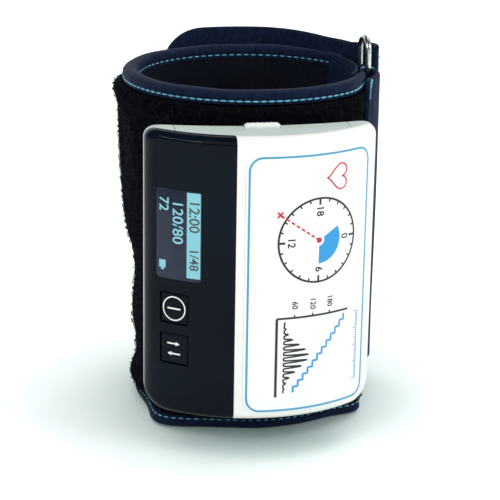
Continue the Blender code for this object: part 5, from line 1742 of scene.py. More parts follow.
@dataclass
class Shell:
    """Makes and cuts the monitor's moulded shells."""

    corner_steps: int = 9
    round_steps: int = 8
    columns: int = 40
    overrun: float = 0.003

    def outline(self, box: Sequence[float], low: float, high: float) -> list[tuple[Pair, Pair]]:
        """A rounded rectangle as columns of a lower and an upper point, from left to right.

        Args:
            box: left, right, bottom and top.
            low: radius of its lower corners.
            high: radius of its upper corners.

        Returns:
            The columns.
        """
        left, right, bottom, top = box
        corner = []
        for i in range(self.corner_steps):
            turn = pi / 2 * i / self.corner_steps
            across, rise = 1 - cos(turn), 1 - sin(turn)
            lower = (left + low * across, bottom + low * rise)
            corner.append((lower, (left + high * across, top - high * rise)))
        mirrored = [((left + right - a[0], a[1]), (left + right - b[0], b[1])) for a, b in reversed(corner)]
        lower = [(x, bottom) for x in spaced(left + low, right - low, self.columns)]
        upper = [(x, top) for x in spaced(left + high, right - high, self.columns)]
        return corner + list(zip(lower, upper)) + mirrored

    def pillow(self, name: str, rows: Sequence, place: Callable[[float, float, object], Vector]) -> Piece:
        """A solid from like rows of columns, one behind the other.

        Args:
            name: the piece's name.
            rows: each row's columns, and what its points take along to their place.
            place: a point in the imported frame, from its two sizes in the outline and that value.

        Returns:
            The object.
        """
        shape = bmesh.new()
        grid = []
        for columns, more in rows:
            grid.append([[shape.verts.new(place(x, z, more)) for x, z in column] for column in columns])
        skin(shape, [[low for low, _ in row] + [high for _, high in reversed(row)] for row in grid])
        for row in (grid[0], grid[-1]):
            for (low, high), (next_low, next_high) in zip(row, row[1:]):
                shape.faces.new((low, next_low, next_high, high))
        return shape_object(name, shape, 32.0)

    def blank(self, name: str, inset: float = 0.0) -> Piece:
        """The monitor's outer form, or the form this far inside it.

        Args:
            name: the piece's name.
            inset: how far inside the outer form it lies.

        Returns:
            The solid form.
        """
        rounding = UNIT.face_round - inset / 2
        widest = UNIT.half_width - inset
        room = UNIT.back_y(widest, inset) - UNIT.face_y(widest, inset) - rounding
        chamfer = UNIT.chamfer_share * room

        def columns(shrink: float, side: float = 0.0) -> list[tuple[Pair, Pair]]:
            """The outline, drawn in all round and at its sides.

            Args:
                shrink: how far it is drawn in all round.
                side: how much further it is at its sides.

            Returns:
                The lower and the upper point of each column.
            """
            half = widest - shrink - side
            box = (-half, half, UNIT.bottom + inset + shrink, UNIT.top - inset - shrink)
            return self.outline(box, UNIT.low_corner - inset - shrink, UNIT.high_corner - inset - shrink / 2)

        def on_back(depth: float) -> Curve:
            """The back's curve at this depth."""
            return lambda x: UNIT.back_y(x, inset + depth)

        def behind_face(setback: float) -> Curve:
            """The face's curve, set back."""
            return lambda x: UNIT.face_y(x, inset) + setback

        turns = spaced(0.0, pi / 2, self.round_steps)
        rows = [(columns(chamfer, UNIT.side_round), on_back(0.0))]
        for turn in turns:
            depth = chamfer + (UNIT.side_share - UNIT.chamfer_share) * room * (1 - cos(turn))
            rows.append((columns(0.0, UNIT.side_round * (1 - sin(turn))), on_back(depth)))
        for turn in turns:
            setback = rounding * (1 - sin(turn))
            rows.append((columns(rounding * (1 - cos(turn))), behind_face(setback)))
        return self.pillow(name, rows, lambda x, z, depth: Vector((x, depth(x), z)) + SHIFT)

    def plate(self, name: str, box: Sequence[float], corner: float, levels: Sequence[Pair]) -> Piece:
        """A plate or cutter that follows the face, its outline growing or shrinking with depth.

        Args:
            name: the piece's name.
            box: left, right, bottom and top, along the face.
            corner: its corners' radius.
            levels: depth and growth of the outline there, in order.

        Returns:
            The object.
        """
        left, right, bottom, top = box
        rows = []
        for depth, more in levels:
            grown = (left - more, right + more, bottom - more, top + more)
            radius = max(corner + more, 0.0001)
            rows.append((self.outline(grown, radius, radius), -depth))
        return self.pillow(name, rows, UNIT.on_face)

    def slab(self, name: str, box: Sequence[float], front: Curve | float, back: Curve | float) -> Piece:
        """A block between two curves of x or flat planes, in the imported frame.

        Args:
            name: the piece's name.
            box: left, right, bottom and top.
            front: its front side.
            back: its back.

        Returns:
            The object.
        """
        left, right, bottom, top = box
        columns = [((x, bottom), (x, top)) for x in spaced(left, right, self.columns)]

        def place(x: float, z: float, side: Curve | float) -> Vector:
            """A point of one side."""
            return Vector((x, side(x) if callable(side) else side, z)) + SHIFT

        return self.pillow(name, [(columns, front), (columns, back)], place)

    def pillars(self, name: str, places: Sequence[Pair], radius: float, front: float, back: float) -> Piece:
        """Like cylinders along Y at these (x, z) places, as one cutter.

        Args:
            name: the cutter's name.
            places: each cylinder's (x, z).
            radius: the cylinders' radius.
            front: where they start along Y.
            back: where they end along Y.

        Returns:
            The cutter.
        """
        shape = bmesh.new()
        sizes = {"segments": 28, "radius1": radius, "radius2": radius, "depth": back - front}
        for x, z in places:
            middle = Matrix.Translation(Vector((x, (front + back) / 2, z)) + SHIFT)
            turned = middle @ Matrix.Rotation(pi / 2, 4, "X")
            bmesh.ops.create_cone(shape, cap_ends=True, matrix=turned, **sizes)
        return shape_object(name, shape)

    def cut(self, piece: Piece, steps: Sequence[tuple[str, Piece]], angle: float = 32.0) -> Piece:
        """Joins blocks to a piece or cuts them out of it, exactly and in order.

        Args:
            piece: what is cut.
            steps: INTERSECT, UNION or DIFFERENCE with a block.
            angle: degrees past which an edge of the result stays sharp.

        Returns:
            The piece, with its blocks removed.
        """
        for how, block in steps:
            boolean = piece.modifiers.new(block.name, "BOOLEAN")
            boolean.operation = how
            boolean.object = block
            boolean.solver = "EXACT"
        shaded(baked(piece), angle)
        for _, block in steps:
            dropped(block)
        return piece


SHELL = Shell()


@dataclass
class Housing:
    """Black panel, white cover and grey rear housing, with the holes their neighbours need."""

    window: Sizes = (-0.04413, -0.02543, 0.0718, 0.1069)
    window_corner: float = 0.0012
    label: Sizes = (-0.0085, 0.0448, 0.0199, 0.1223)
    label_corner: float = 0.006
    foil: float = 0.0003
    key_at: float = -0.03645
    key_heights: Pair = (0.0598, 0.0434)
    key_corner: float = 0.0009
    key_hole: Pair = (0.0124, 0.0125)
    bevel: float = 0.0001
    door_gap: float = 0.0335
    door_wall: float = 0.0027
    hole: float = 0.0025
    spout: Pair = (0.0, 0.059)
    pegs: Pair = (0.015, 0.104)
    screw_x: float = 0.0355
    screw_heights: Pair = (0.0261, 0.1191)
    screw_head: Pair = (0.0022, 0.0019)

    def build(self) -> None:
        """Makes the three shells from the outer form, and the window's plate."""
        levels = [(0.0001, 0.00012), (0.00016, 0.00022), (0.001, 0.00022)]
        window = SHELL.plate("smoked_plate", self.window, self.window_corner, levels)
        dressed(window, Finish.SMOKED, "monitor", "display_window")
        more, gap = SHELL.overrun, UNIT.gap
        wide = UNIT.half_width + more
        front, back = UNIT.face_y(0.0) - more, UNIT.back_y(UNIT.half_width) + more
        low, high = UNIT.bottom - more, UNIT.top + more
        deep = UNIT.shell + more

        def parting(side: int) -> Curve:
            """Where the covers, -1, or the rear housing, 1, end at their joint."""
            return lambda x: UNIT.face_y(x) + UNIT.cover_depth + side * gap / 2

        def shell(name: str, region: Piece, cuts: Sequence[Piece]) -> Piece:
            """One of the three shells: its region of the form, hollowed and cut."""
            steps = [("INTERSECT", region), ("DIFFERENCE", SHELL.blank("cavity", UNIT.shell))]
            return SHELL.cut(SHELL.blank(name), steps + [("DIFFERENCE", block) for block in cuts])

        def opening(name: str, box: Sequence[float], corner: float, grown: float) -> Piece:
            """A bevelled hole through the panel, grown by a clearance."""
            levels = [(-more, grown + more + self.bevel), (self.bevel, grown), (deep, grown)]
            return SHELL.plate(name, box, corner, levels)

        cuts = [opening("window_hole", self.window, self.window_corner, gap)]
        width, tall = (size / 2 for size in self.key_hole)
        for height in self.key_heights:
            box = (self.key_at - width, self.key_at + width, height - tall, height + tall)
            cuts.append(opening(f"key_hole_{height:.4f}", box, self.key_corner, 0.0))
        region = SHELL.slab("panel_region", (-wide, UNIT.split_x - gap / 2, low, high), front, parting(-1))
        panel = shell("gloss_panel", region, cuts)
        levels = [(-more, gap), (self.foil + gap, gap)]
        cuts = [SHELL.plate("label_pocket", self.label, self.label_corner, levels)]
        region = SHELL.slab("cover_region", (UNIT.split_x + gap / 2, wide, low, high), front, parting(-1))
        cover = shell("white_shell", region, cuts)
        door = (-self.door_gap, self.door_gap, UNIT.top - self.door_wall, high)
        inside = UNIT.back_y(0.0, deep)
        pegs = [(side * self.pegs[0], self.pegs[1]) for side in (-1, 1)]
        screws = [(side * self.screw_x, z) for side in (-1, 1) for z in self.screw_heights]
        radius, sunk = self.screw_head
        cuts = [
            SHELL.slab("door_gap", door, front, back),
            SHELL.pillars("spout_hole", [self.spout], self.hole, inside, back),
            SHELL.pillars("peg_sockets", pegs, self.hole, inside, back),
            SHELL.pillars("head_recesses", screws, radius, UNIT.back_y(self.screw_x) - sunk, back),
        ]
        region = SHELL.slab("rear_region", (-wide, wide, low, high), parting(1), back)
        rear = shell("rear_shell", region, cuts)
        dressed(panel, Finish.BLACK_GLOSS, "monitor", "display_panel")
        dressed(cover, Finish.WHITE_ABS, "monitor", "front_cover")
        dressed(rear, Finish.GREY_ABS, "monitor", "rear_housing")


HOUSING = Housing()


@dataclass
class FacePrint:
    """Flat shapes in (along, height) places on the monitor's face, this far in front of it."""

    name: str
    finish: Finish
    lift: float = 0.00004
    wall: float = 0.00003
    step: ClassVar[float] = 0.0009

    def __post_init__(self) -> None:
        """Starts empty."""
        self.shape = bmesh.new()

    def face(self, corners: Sequence[Pair]) -> None:
        """Adds one small face.

        Args:
            corners: each corner's place along the face's curve and its height.
        """
        points = [self.shape.verts.new(UNIT.on_face(*corner, self.lift)) for corner in corners]
        face = self.shape.faces.new(points)
        face.normal_update()
        if face.normal.dot(UNIT.on_face(*corners[0], 0.01) - UNIT.on_face(*corners[0], 0.0)) < 0:
            face.normal_flip()

    def line(self, points: Sequence[Pair], width: float, closed: bool = False, step: float = step) -> None:
        """Adds a line of even width through some places.

        Args:
            points: the places.
            width: the line's width.
            closed: whether it runs back to its start.
            step: the longest piece before it is split, so that it follows the curve.
        """
        source = [Vector(point) for point in (*points, *points[: int(closed)])]
        path = source[:1]
        for a, b in zip(source, source[1:]):
            count = max(int(ceil((b - a).length / step)), 1)
            path += [a.lerp(b, i / count) for i in range(1, count + 1)]
        if closed:
            path.pop()
        sides = []
        for i, spot in enumerate(path):
            along = heading(path, i, closed)
            across = Vector((-along.y, along.x)) * width / 2
            sides.append((tuple(spot + across), tuple(spot - across)))
        sides += sides[: int(closed)]
        for (a, b), (c, d) in zip(sides, sides[1:]):
            self.face([a, b, d, c])

    def area(self, left: float, right: float, bottom: float, top: float) -> None:
        """Adds a filled box, split finely enough to follow the curve.

        Args:
            left: the left side.
            right: the right side.
            bottom: the lower side.
            top: the upper side.
        """
        across = spaced(left, right, max(int((right - left) / self.step), 1))
        up = spaced(bottom, top, max(int((top - bottom) / (4 * self.step)), 1))
        for a, b in zip(across, across[1:]):
            for c, d in zip(up, up[1:]):
                self.face([(a, c), (b, c), (b, d), (a, d)])

    def dashes(self, start: Pair, end: Pair, width: float, dash: float, gap: float) -> None:
        """Adds a broken line.

        Args:
            start: where the line starts.
            end: where the line ends.
            width: how wide the line is.
            dash: how long each dash is.
            gap: the space between two dashes.
        """
        a, b = Vector(start), Vector(end)
        length = (b - a).length
        place = 0.0
        while place < length:
            stop = min(place + dash, length)
            self.line([a.lerp(b, place / length), a.lerp(b, stop / length)], width)
            place += dash + gap

    def sector(self, centre: Pair, inner: float, outer: float, start: float = 0, end: float = 360) -> None:
        """Adds part of a ring, its angles in degrees from the reading direction, clockwise.

        Args:
            centre: the ring's middle.
            inner: the inner radius.
            outer: the outer radius.
            start: the angle where it starts.
            end: the angle where it ends.
        """
        turns = max(int(abs(end - start) / 5), 2)
        rings = max(int((outer - inner) / 0.0012), 1)
        for i in range(turns):
            for j in range(rings):
                spots = []
                for a, r in ((i, j), (i + 1, j), (i + 1, j + 1), (i, j + 1)):
                    radius = inner + (outer - inner) * r / rings
                    spots.append(self.dial_spot(centre, radius, start + (end - start) * a / turns))
                self.face(spots)

    def dial_spot(self, centre: Pair, radius: float, degrees: float) -> Pair:
        """A place on a dial whose zero points to the label's top edge as it is read."""
        turn = radians(degrees)
        return (centre[0] + radius * cos(turn), centre[1] - radius * sin(turn))

    def words(self, text: str, along: float, height: float, size: float, bold: float = 0.00007) -> None:
        """Adds plain numbers, read downwards along the unit.

        Args:
            text: the numbers.
            along: where their middle is along the face.
            height: where their middle is in height.
            size: their size.
            bold: how much each stroke grows on either side.
        """
        curve = bpy.data.curves.new("numbers", "FONT")
        curve.body, curve.size, curve.offset = text, size, bold
        curve.resolution_u = 4
        curve.align_x = curve.align_y = "CENTER"
        holder = link_object("numbers", curve)
        graph = bpy.context.evaluated_depsgraph_get()
        mesh = bpy.data.meshes.new_from_object(holder.evaluated_get(graph))
        for polygon in mesh.polygons:
            spots = [mesh.vertices[i].co for i in polygon.vertices]
            self.face([(along + spot.y, height - spot.x) for spot in spots])
        bpy.data.objects.remove(holder)
        bpy.data.curves.remove(curve)
        dropped(mesh)

    def build(self, body: str, slot: str) -> None:
        """Welds the print, gives it its thickness and dresses it.

        Args:
            body: the CAD body that it rides on.
            slot: the record's material slot; not used.
        """
        bmesh.ops.remove_doubles(self.shape, verts=self.shape.verts, dist=0.000002)
        piece = shape_object(self.name, self.shape, 0.0, outward=False)
        solid = piece.modifiers.new("thickness", "SOLIDIFY")
        solid.thickness = self.wall
        solid.offset = -1.0
        dressed(baked(piece), self.finish, body, "")


def round_box(left: float, right: float, bottom: float, top: float, corner: float) -> list[Pair]:
    """The outline of a rounded box, from its lower right corner on.

    Args:
        left: the left side.
        right: the right side.
        bottom: the lower side.
        top: the upper side.
        corner: the corners' radius.

    Returns:
        The outline's points.
    """
    middles = (
        (right - corner, bottom + corner),
        (right - corner, top - corner),
        (left + corner, top - corner),
        (left + corner, bottom + corner),
    )
    points = []
    for quarter, (x, y) in enumerate(middles):
        for turn in spaced(pi / 2 * (quarter - 1), pi / 2 * quarter, 8):
            points.append((x + corner * cos(turn), y + corner * sin(turn)))
    return points


@dataclass
class Label:
    """The foil in the white cover, with a plain diagram: a day dial, a falling pressure curve and a scale."""

    border: Sizes = (-0.0073, 0.044, 0.0205, 0.1214)
    border_corner: float = 0.0052
    dial: Pair = (0.0205, 0.088)
    dial_radius: float = 0.0165
    chart_left: float = 0.004
    chart_top: float = 0.058
    chart_start: float = 0.0565
    scale_at: float = 0.0405
    scale_top: float = 0.056
    pulses: int = 13
    heart: Pair = (0.0285, 0.112)
    heart_size: float = 0.005
    cross: float = 0.0011

    def build(self) -> None:
        """Makes the foil and each ink."""
        levels = [(0.00002, 0.00012), (0.0001, 0.00022), (0.0003, 0.00022)]
        foil = SHELL.plate("label_film", HOUSING.label, HOUSING.label_corner, levels)
        dressed(foil, Finish.FILM, "monitor", "label_foil")
        inks = (
            ("label_cyan", Finish.INK_CYAN, 0.00004, self.cyan),
            ("label_black", Finish.INK_BLACK, 0.00004, self.black),
            ("label_blue", Finish.INK_BLUE, 0.00005, self.blue),
            ("label_red", Finish.INK_RED, 0.00006, self.red),
        )
        for name, finish, lift, draw in inks:
            ink = FacePrint(name, finish, lift)
            draw(ink)
            ink.build("monitor", "label_foil")

    def cyan(self, ink: FacePrint) -> None:
        """The border and the scale at the side.

        Args:
            ink: the print that it adds to.
        """
        ink.line(round_box(*self.border, self.border_corner), 0.0008, closed=True)
        for i in range(29):
            height = self.scale_top - 0.001 * i
            reach = 0.002 if i % 7 == 0 else 0.001
            ink.line([(self.scale_at, height), (self.scale_at - reach, height)], 0.00035)
        ink.line([(self.scale_at, self.scale_top), (self.scale_at, self.scale_top - 0.028)], 0.00035)

    def black(self, ink: FacePrint) -> None:
        """The dial's ring, ticks and numbers, and the pulse curve.

        Args:
            ink: the print that it adds to.
        """
        for hour in range(24):
            inner, width = (0.0026, 0.00085) if hour % 6 == 0 else (0.0014, 0.0006)
            radii = (self.dial_radius - inner, self.dial_radius)
            ink.line([ink.dial_spot(self.dial, radius, hour * 15) for radius in radii], width)
        ink.sector(self.dial, self.dial_radius - 0.0004, self.dial_radius + 0.0004)
        for hour in (0, 6, 12, 18):
            along, height = ink.dial_spot(self.dial, self.dial_radius - 0.005, hour * 15)
            ink.words(str(hour), along, height, 0.0042, 0.00008)
        ink.line([(self.chart_left, self.chart_top), (self.chart_left, 0.026)], 0.001)
        ink.line([(self.chart_left, self.chart_top), (0.035, self.chart_top)], 0.0008)
        curve = []
        for share in spaced(0.0, 1.0, self.pulses * 14):
            beat = (share * self.pulses) % 1.0
            wave = sin(pi * min(beat / 0.55, 1.0)) ** 2
            curve.append((0.007 + 0.0105 * bell(share, 0.5, 0.24) * wave, self.chart_start - 0.029 * share))
        ink.line(curve, 0.00065)
        for number, along in ((60, 0.011), (120, 0.0185), (180, 0.026)):
            ink.line([(along, self.chart_top), (along, self.chart_top + 0.0012)], 0.0006)
            ink.words(str(number), along, self.chart_top + 0.005, 0.0032, 0.00006)

    def blue(self, ink: FacePrint) -> None:
        """The dial's night hours and the falling pressure.

        Args:
            ink: the print that it adds to.
        """
        ink.sector(self.dial, 0.0022, self.dial_radius - 0.0072, -30, 90)
        steps = []
        for i in range(12):
            steps += [(0.033 - 0.002 * i, self.chart_start - 0.00242 * j) for j in (i, i + 1)]
        ink.line(steps, 0.00085)

    def red(self, ink: FacePrint) -> None:
        """The dial's broken hand with its small cross, and a plain heart sign, upright as it is read.

        Args:
            ink: the print that it adds to.
        """
        end = ink.dial_spot(self.dial, self.dial_radius + 0.003, 215)
        ink.dashes(self.dial, end, 0.0007, 0.0016, 0.0009)
        for slant in (1, -1):
            spots = [(end[0] + way * self.cross, end[1] + way * slant * self.cross) for way in (-1, 1)]
            ink.line(spots, 0.0007)
        ink.sector(self.dial, 0.0, 0.0011)
        heart = []
        for i in range(48):
            turn = 2 * pi * i / 48
            waves = 13 * cos(turn) - 5 * cos(2 * turn) - 2 * cos(3 * turn) - cos(4 * turn)
            across = self.heart_size * sin(turn) ** 3
            heart.append((self.heart[0] + self.heart_size * waves / 16, self.heart[1] - across))
        ink.line(heart, 0.0006, closed=True)


@dataclass
class Display:
    """What the display shows: numbers and a battery sign, lit on the smoked window."""

    bar: Sizes = (-0.0311, -0.0256, 0.073, 0.1066)
    battery: Sizes = (-0.043, -0.0401, 0.0758, 0.0788)
    battery_tip: Sizes = (-0.0422, -0.0409, 0.0749, 0.0758)

    def build(self) -> None:
        """Makes the lit and the dark pieces."""
        lit = FacePrint("display_lit", Finish.PIXELS, -0.00006)
        for box in (self.bar, self.battery, self.battery_tip):
            lit.area(*box)
        lit.words("120/80", -0.0351, 0.0945, 0.0062)
        lit.words("72", -0.0411, 0.101, 0.0058)
        lit.build("monitor", "clear_window")
        dark = FacePrint("display_dark", Finish.PIXELS_DARK, -0.00001)
        dark.words("12:00", -0.0283, 0.0975, 0.0058)
        dark.words("1/48", -0.0283, 0.0805, 0.005)
        dark.build("monitor", "clear_window")


@dataclass
class Buttons:
    """Start and transfer: black keys with white signs."""

    key: Pair = (0.0118, 0.0119)
    stem: Pair = (0.003, 0.003)
    levels: tuple[Pair, ...] = (
        (0.00025, -0.0008),
        (0.00029, -0.0005),
        (0.0004, -0.0002),
        (0.0006, -0.00004),
        (0.0008, 0.0),
        (0.0018, 0.0),
    )
    arrow: float = 0.0026
    head: tuple[Pair, ...] = ((0.0015, 0.0015), (0.0011, 0.001), (0.0006, 0.0006), (0.0, 0.0))

    def build(self) -> None:
        """Makes both keys and their signs."""
        along, (start, transfer) = HOUSING.key_at, HOUSING.key_heights
        self.pressed("start_button", start)
        self.pressed("transfer_button", transfer)
        signs = FacePrint("start_sign", Finish.INK_WHITE, -0.00021)
        signs.sector((along, start), 0.00445, 0.00495)
        signs.line([(along - 0.0028, start), (along + 0.0028, start)], 0.00062)
        signs.build("start_button", "black_panel")
        signs = FacePrint("transfer_sign", Finish.INK_WHITE, -0.00021)
        for height, way, middle in ((0.0455, 1, -0.03675), (0.0414, -1, -0.03635)):
            tip = middle + way * self.arrow
            signs.line([(middle - way * self.arrow, height), (tip - way * 0.001, height)], 0.00058)
            for (back, width), (front, _) in zip(self.head, self.head[1:]):
                signs.line([(tip - way * back, height), (tip - way * front, height)], width, step=0.01)
        signs.build("transfer_button", "black_panel")

    def pressed(self, name: str, height: float) -> None:
        """One key with soft edges and its stem.

        Args:
            name: the button's name.
            height: the height of its middle.
        """
        box, stem_box = (self.box(size, height) for size in (self.key, self.stem))
        piece = SHELL.plate(name + "_key", box, HOUSING.key_corner, self.levels)
        stem = SHELL.plate(name + "_stem", stem_box, 0.0003, [(0.0015, 0.0), (0.0031, 0.0)])
        SHELL.cut(piece, [("UNION", stem)], 50.0)
        dressed(piece, Finish.BLACK_GLOSS, name, name)

    def box(self, size: Pair, height: float) -> Sizes:
        """Left, right, bottom and top of a block of this size in the row of keys."""
        half, tall = size[0] / 2, size[1] / 2
        return (HOUSING.key_at - half, HOUSING.key_at + half, height - tall, height + tall)


@dataclass
class BatteryDoor:
    """The grey door in the top end and its sprung latch."""

    half: float = 0.0332
    wall: float = 0.0024
    tongue_x: float = 0.0255
    tongue: Sizes = (0.006, 0.0012, 0.007)
    latch_half: float = 0.0068
    latch_depth: float = 0.003
    latch_rise: float = 0.0014
    step: float = 0.0007
    seat: float = 0.0012
    travel: float = 0.0008
    rib: float = 0.00022
    ribs: int = 5

    def build(self) -> None:
        """Makes the door with its tongues and recess, then the latch."""
        inner = UNIT.top - self.wall
        back = UNIT.back_y(UNIT.half_width) + SHELL.overrun
        high = UNIT.top + SHELL.overrun

        def under_cover(x: float) -> float:
            """The door's front, behind the front cover."""
            return UNIT.face_y(x) + UNIT.cover_depth + UNIT.gap / 2

        region = SHELL.slab("door_region", (-self.half, self.half, inner, high), under_cover, back)
        steps = [("INTERSECT", region)]
        width, thick, length = self.tongue
        near = UNIT.shell + UNIT.gap
        for side in (-1, 1):
            middle = side * self.tongue_x
            box = (middle - width / 2, middle + width / 2, inner - length, inner + self.wall / 2)
            front, rear = (lambda x, inset=inset: UNIT.back_y(x, inset) for inset in (near + thick, near))
            steps.append(("UNION", SHELL.slab("tongue", box, front, rear)))
        front = UNIT.back_y(0.0) - self.latch_depth - self.travel - UNIT.gap
        reach = self.latch_half + UNIT.gap
        floor = UNIT.top - self.seat
        recess = SHELL.slab("recess", (-reach, reach, floor - UNIT.gap, high), front, back)
        door = SHELL.cut(SHELL.blank("end_door"), steps + [("DIFFERENCE", recess)])
        dressed(door, Finish.GREY_ABS, "door", "battery_door")
        self.latch(floor)

    def latch(self, floor: float) -> None:
        """The latch: a stepped tab with grip ribs on its top.

        Args:
            floor: the height of the floor that it stands on.
        """
        high = UNIT.top + self.latch_rise
        shape = bmesh.new()

        def box(middle: float, half: float, depths: Pair, low: float, top: float, soft: float) -> None:
            """Adds one soft-edged block, its depths measured from the back's middle.

            Args:
                middle: its middle's place across.
                half: half its width.
                depths: how far its front and its rear lie from the back.
                low: the height of its lower side.
                top: the height of its upper side.
                soft: how far its edges are taken off.
            """
            front, rear = depths
            size = Matrix.Diagonal((2 * half, front - rear, top - low, 1.0))
            spot = Vector((middle, UNIT.back_y(0.0) - (front + rear) / 2, (low + top) / 2)) + SHIFT
            made = bmesh.ops.create_cube(shape, size=1.0, matrix=Matrix.Translation(spot) @ size)
            edges = list({edge for vert in made["verts"] for edge in vert.link_edges})
            bmesh.ops.bevel(shape, geom=edges, offset=soft, segments=3, affect="EDGES", profile=0.5)

        box(0.0, self.latch_half, (self.latch_depth, 0.0), floor, high - self.step, 0.00025)
        box(0.0, self.latch_half - self.step, (0.0024, 0.0004), floor + 0.0005, high - 0.0002, 0.0002)
        for place in spaced(-0.0035, 0.0035, self.ribs - 1):
            box(place, self.rib, (0.0021, 0.0007), high - 0.0004, high, 0.00012)
        dressed(shape_object("latch_tab", shape), Finish.WHITE_ABS, "latch", "door_latch")


CARRIED_OVER = {
    Finish.DARK_ABS: "holder_plate battery_shelf display_module pump_head buzzer",
    Finish.WHITE_ABS: "air_manifold air_spout",
    Finish.STEEL: "pump_motor pump_rotor valve_body valve_plunger start_switch transfer_switch",
    Finish.SCREW: "cell_spring_1 cell_spring_2 lower_contact door_contact pressure_sensor "
    "plate_rivet_1 plate_rivet_2 plate_rivet_3 plate_rivet_4 "
    "housing_screw_1 housing_screw_2 housing_screw_3 housing_screw_4",
    Finish.RUBBER: "port_grommet spout_seal",
    Finish.SILICONE: "valve_tube sensor_tube",
    Finish.BOARD: "main_board",
    Finish.JACKET: "cell_1 cell_2",
}


@dataclass
class Insides:
    """The nodes that are carried over as they are, with their real finish, and the bladder."""

    seam: float = 0.004
    weld: float = 0.0076
    short: float = 0.02

    def build(self) -> None:
        """Gives each carried-over node its material and makes the bladder."""
        for finish, nodes in CARRIED_OVER.items():
            for node in nodes.split():
                slots = frame["nodes"][node].data.materials
                slots.clear()
                slots.append(material_of(finish))
        self.bladder(ARM.binding_height + self.weld)

    def bladder(self, low: float) -> None:
        """The thin air bladder, crowned between its welded edges, from this height up.

        Args:
            low: the height of the lower edge.
        """
        first, last = ARM.padded_from + self.short, ARM.padded_until - self.short
        rows = [(height, 1.0) for height in spaced(low, ARM.height - low, 26)]
        loops = []
        for angle in spaced(first, last, 120):
            near = min(angle - first, last - angle) * 0.045
            loop = []
            for side, height, _ in both_sides(rows):
                edge = min(height - low, ARM.height - low - height, near)
                crown = 0.25 + 0.75 * smooth_step(edge, 0.0, self.seam)
                offset = ARM.liner + ARM.gap + ARM.bladder / 2 * (1 - side * 0.92 * crown)
                loop.append(ARM.held_back(ARM.point(angle, offset, height), -0.0104 + offset))
            loops.append(loop)
        piece = dressed(loft("air_bag", loops), Finish.RUBBER, "cuff", "air_bladder")


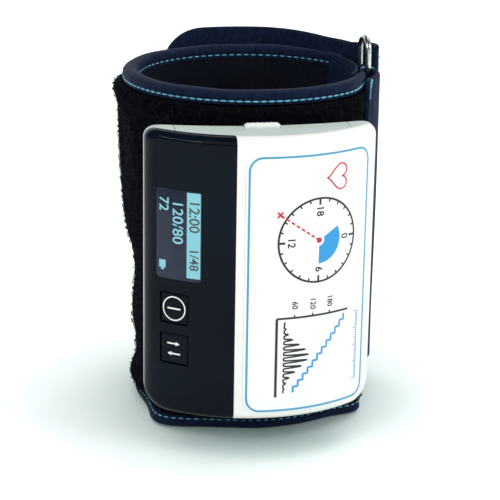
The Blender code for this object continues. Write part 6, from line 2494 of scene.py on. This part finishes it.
@dataclass
class Stage:
    """The pale floor, soft studio light and the camera at the photograph's angle."""

    camera_at: Sizes = (-0.1037, -0.7197, 0.2963)
    aim: Sizes = (-0.0068, -0.0756, 0.086)
    lamp_aim: Sizes = (0.0, -0.02, 0.07)
    roll: float = radians(1.0)
    lens: float = 131.8
    fill: float = 0.48
    glow: float = 0.64
    gloss_fill: float = 0.115
    shade_reach: float = 0.1
    shade_power: float = 1.14
    reach: float = 2.4
    cove: float = 0.6
    cove_at: float = 1.0

    def build(self) -> None:
        """Sets up everything that isn't the object."""
        self.floor()
        self.world()
        self.lamp("key", (-0.7, -1.2, 0.85), 0.9, 4.0)
        self.lamp("strip", (-1.18, -0.71, 0.62), 0.9, 5.0, 0.035)
        self.lamp("side", (1.1, -0.62, 0.56), 0.6, 7.3)
        self.lamp("top", (0.55, 0.25, 1.25), 0.7, 3.6)
        self.camera()
        bpy.context.scene.view_settings.view_transform = "Standard"

    def floor(self) -> None:
        """One sheet: the floor, a round cove and the wall behind."""
        shape = bmesh.new()
        bend = spaced(0.08, pi / 2, 16)
        profile = [(-self.reach, 0.0), (self.cove_at, 0.0)]
        profile += [(self.cove_at + self.cove * sin(a), self.cove * (1 - cos(a))) for a in bend]
        profile.append((self.cove_at + self.cove, self.reach))
        rows = [[shape.verts.new((x, y, z)) for x in (-self.reach, self.reach)] for y, z in profile]
        for first, second in zip(rows, rows[1:]):
            shape.faces.new((*first, *second[::-1]))
        floor = shape_object("studio_floor", shape, 0.0, outward=False)
        floor.data.shade_smooth()
        floor.data.materials.append(self.paper())

    def paper(self) -> Material:
        """White seamless paper, lifted to white where the camera or a gloss sees it lit, with a painted
        contact shadow: near the object ambient occlusion takes its lift and its colour down towards a
        greenish grey.

        Returns:
            The paper's material.
        """
        paint = Painter("seamless_paper")
        # painted shadow: the floor's own ambient occlusion darkens it near the object
        shade = paint.add("ShaderNodeAmbientOcclusion", {"Distance": self.shade_reach}, samples=8)
        outside_painted_shadow = paint.math("POWER", shade.outputs["AO"], self.shade_power)
        fibre = paint.mix(paint.ramp(paint.noise(0.8), 0.3, 0.7), "FEFFFF", "FBFDFD")
        seen = paint.add("ShaderNodeLightPath").outputs
        share = seen["Is Camera Ray"]
        for ray in ("Is Glossy Ray", "Is Transmission Ray"):
            share = paint.math("MAXIMUM", share, seen[ray])
        lift = paint.math("MULTIPLY", outside_painted_shadow, paint.math("MULTIPLY", share, self.glow))
        # painted shadow colour: the paper turns greenish grey where the occlusion is full
        paint.set(Base_Color=paint.mix(outside_painted_shadow, "86A5A2", fibre), Roughness=0.9)
        # the emission's greenish tint gives the painted shadow its tint where the lift stays under white
        paint.set(Emission_Color="E3F3F0", Emission_Strength=lift)
        return paint.material

    def world(self) -> None:
        """An even white surround: full where the camera sees it, less on the object and in a gloss."""
        world = bpy.data.worlds.new("studio")
        bpy.context.scene.world = world
        world.use_nodes = True
        sky = NodeBuilder(world.node_tree)
        seen = sky.add("ShaderNodeLightPath").outputs
        shares = []
        rays = (("Is Camera Ray", self.fill, 1.0), ("Is Glossy Ray", 1.0, self.gloss_fill / self.fill))
        for ray, least, most in rays:
            links = {"Value": seen[ray], "To Min": least, "To Max": most}
            shares.append(sky.add("ShaderNodeMapRange", links).outputs["Result"])
        ground = sky.tree.nodes["Background"]
        sky.feed(ground, "Color", (1.0, 1.0, 1.0, 1.0))
        sky.feed(ground, "Strength", sky.math("MULTIPLY", *shares))

    def aimed(self, name: str, data: bpy.types.ID, at: Sizes, aim: Sizes, roll: float = 0.0) -> Piece:
        """Sets a lamp or the camera at a place, aimed at a spot and turned about its own axis.

        Args:
            name: the new object's name.
            data: the lamp's or the camera's data.
            at: where it stands.
            aim: the spot that it looks at.
            roll: the turn about its own axis, in radians.

        Returns:
            The new object.
        """
        holder = link_object(name, data)
        place = Vector(at) + SHIFT
        turn = (Vector(aim) + SHIFT - place).to_track_quat("-Z", "Y").to_matrix().to_4x4()
        holder.matrix_world = Matrix.Translation(place) @ turn @ Matrix.Rotation(roll, 4, "Z")
        return holder

    def lamp(self, name: str, spot: Sequence[float], size: float, power: float, tall: float = 0.0) -> None:
        """One soft box aimed at the object, square unless its height is given.

        Args:
            name: the lamp's name.
            spot: where it stands.
            size: the box's width.
            power: its power in watts.
            tall: the box's height; zero for the same as the width.
        """
        light = bpy.data.lights.new(name, "AREA")
        light.shape = "RECTANGLE"
        light.size = size
        light.size_y = tall or size
        light.energy = power
        self.aimed(name, light, spot, self.lamp_aim)

    def camera(self) -> None:
        """The camera, turned a little about its own axis as in the photograph."""
        camera = bpy.data.cameras.new("camera")
        camera.lens = self.lens
        camera.sensor_width = 36.0
        camera.clip_start = 0.01
        bpy.context.scene.camera = self.aimed("camera", camera, self.camera_at, self.aim, self.roll)


def main() -> None:
    """Builds the stage and every sub-assembly."""
    cuff = (CuffWalls(), RingWork(), Tail())
    monitor = (HOUSING, Label(), Display(), Buttons(), BatteryDoor(), Insides())
    for part in (Stage(), *cuff, *monitor):
        log.info("building %s", type(part).__name__)
        part.build()


if __name__ == "__main__":
    main()
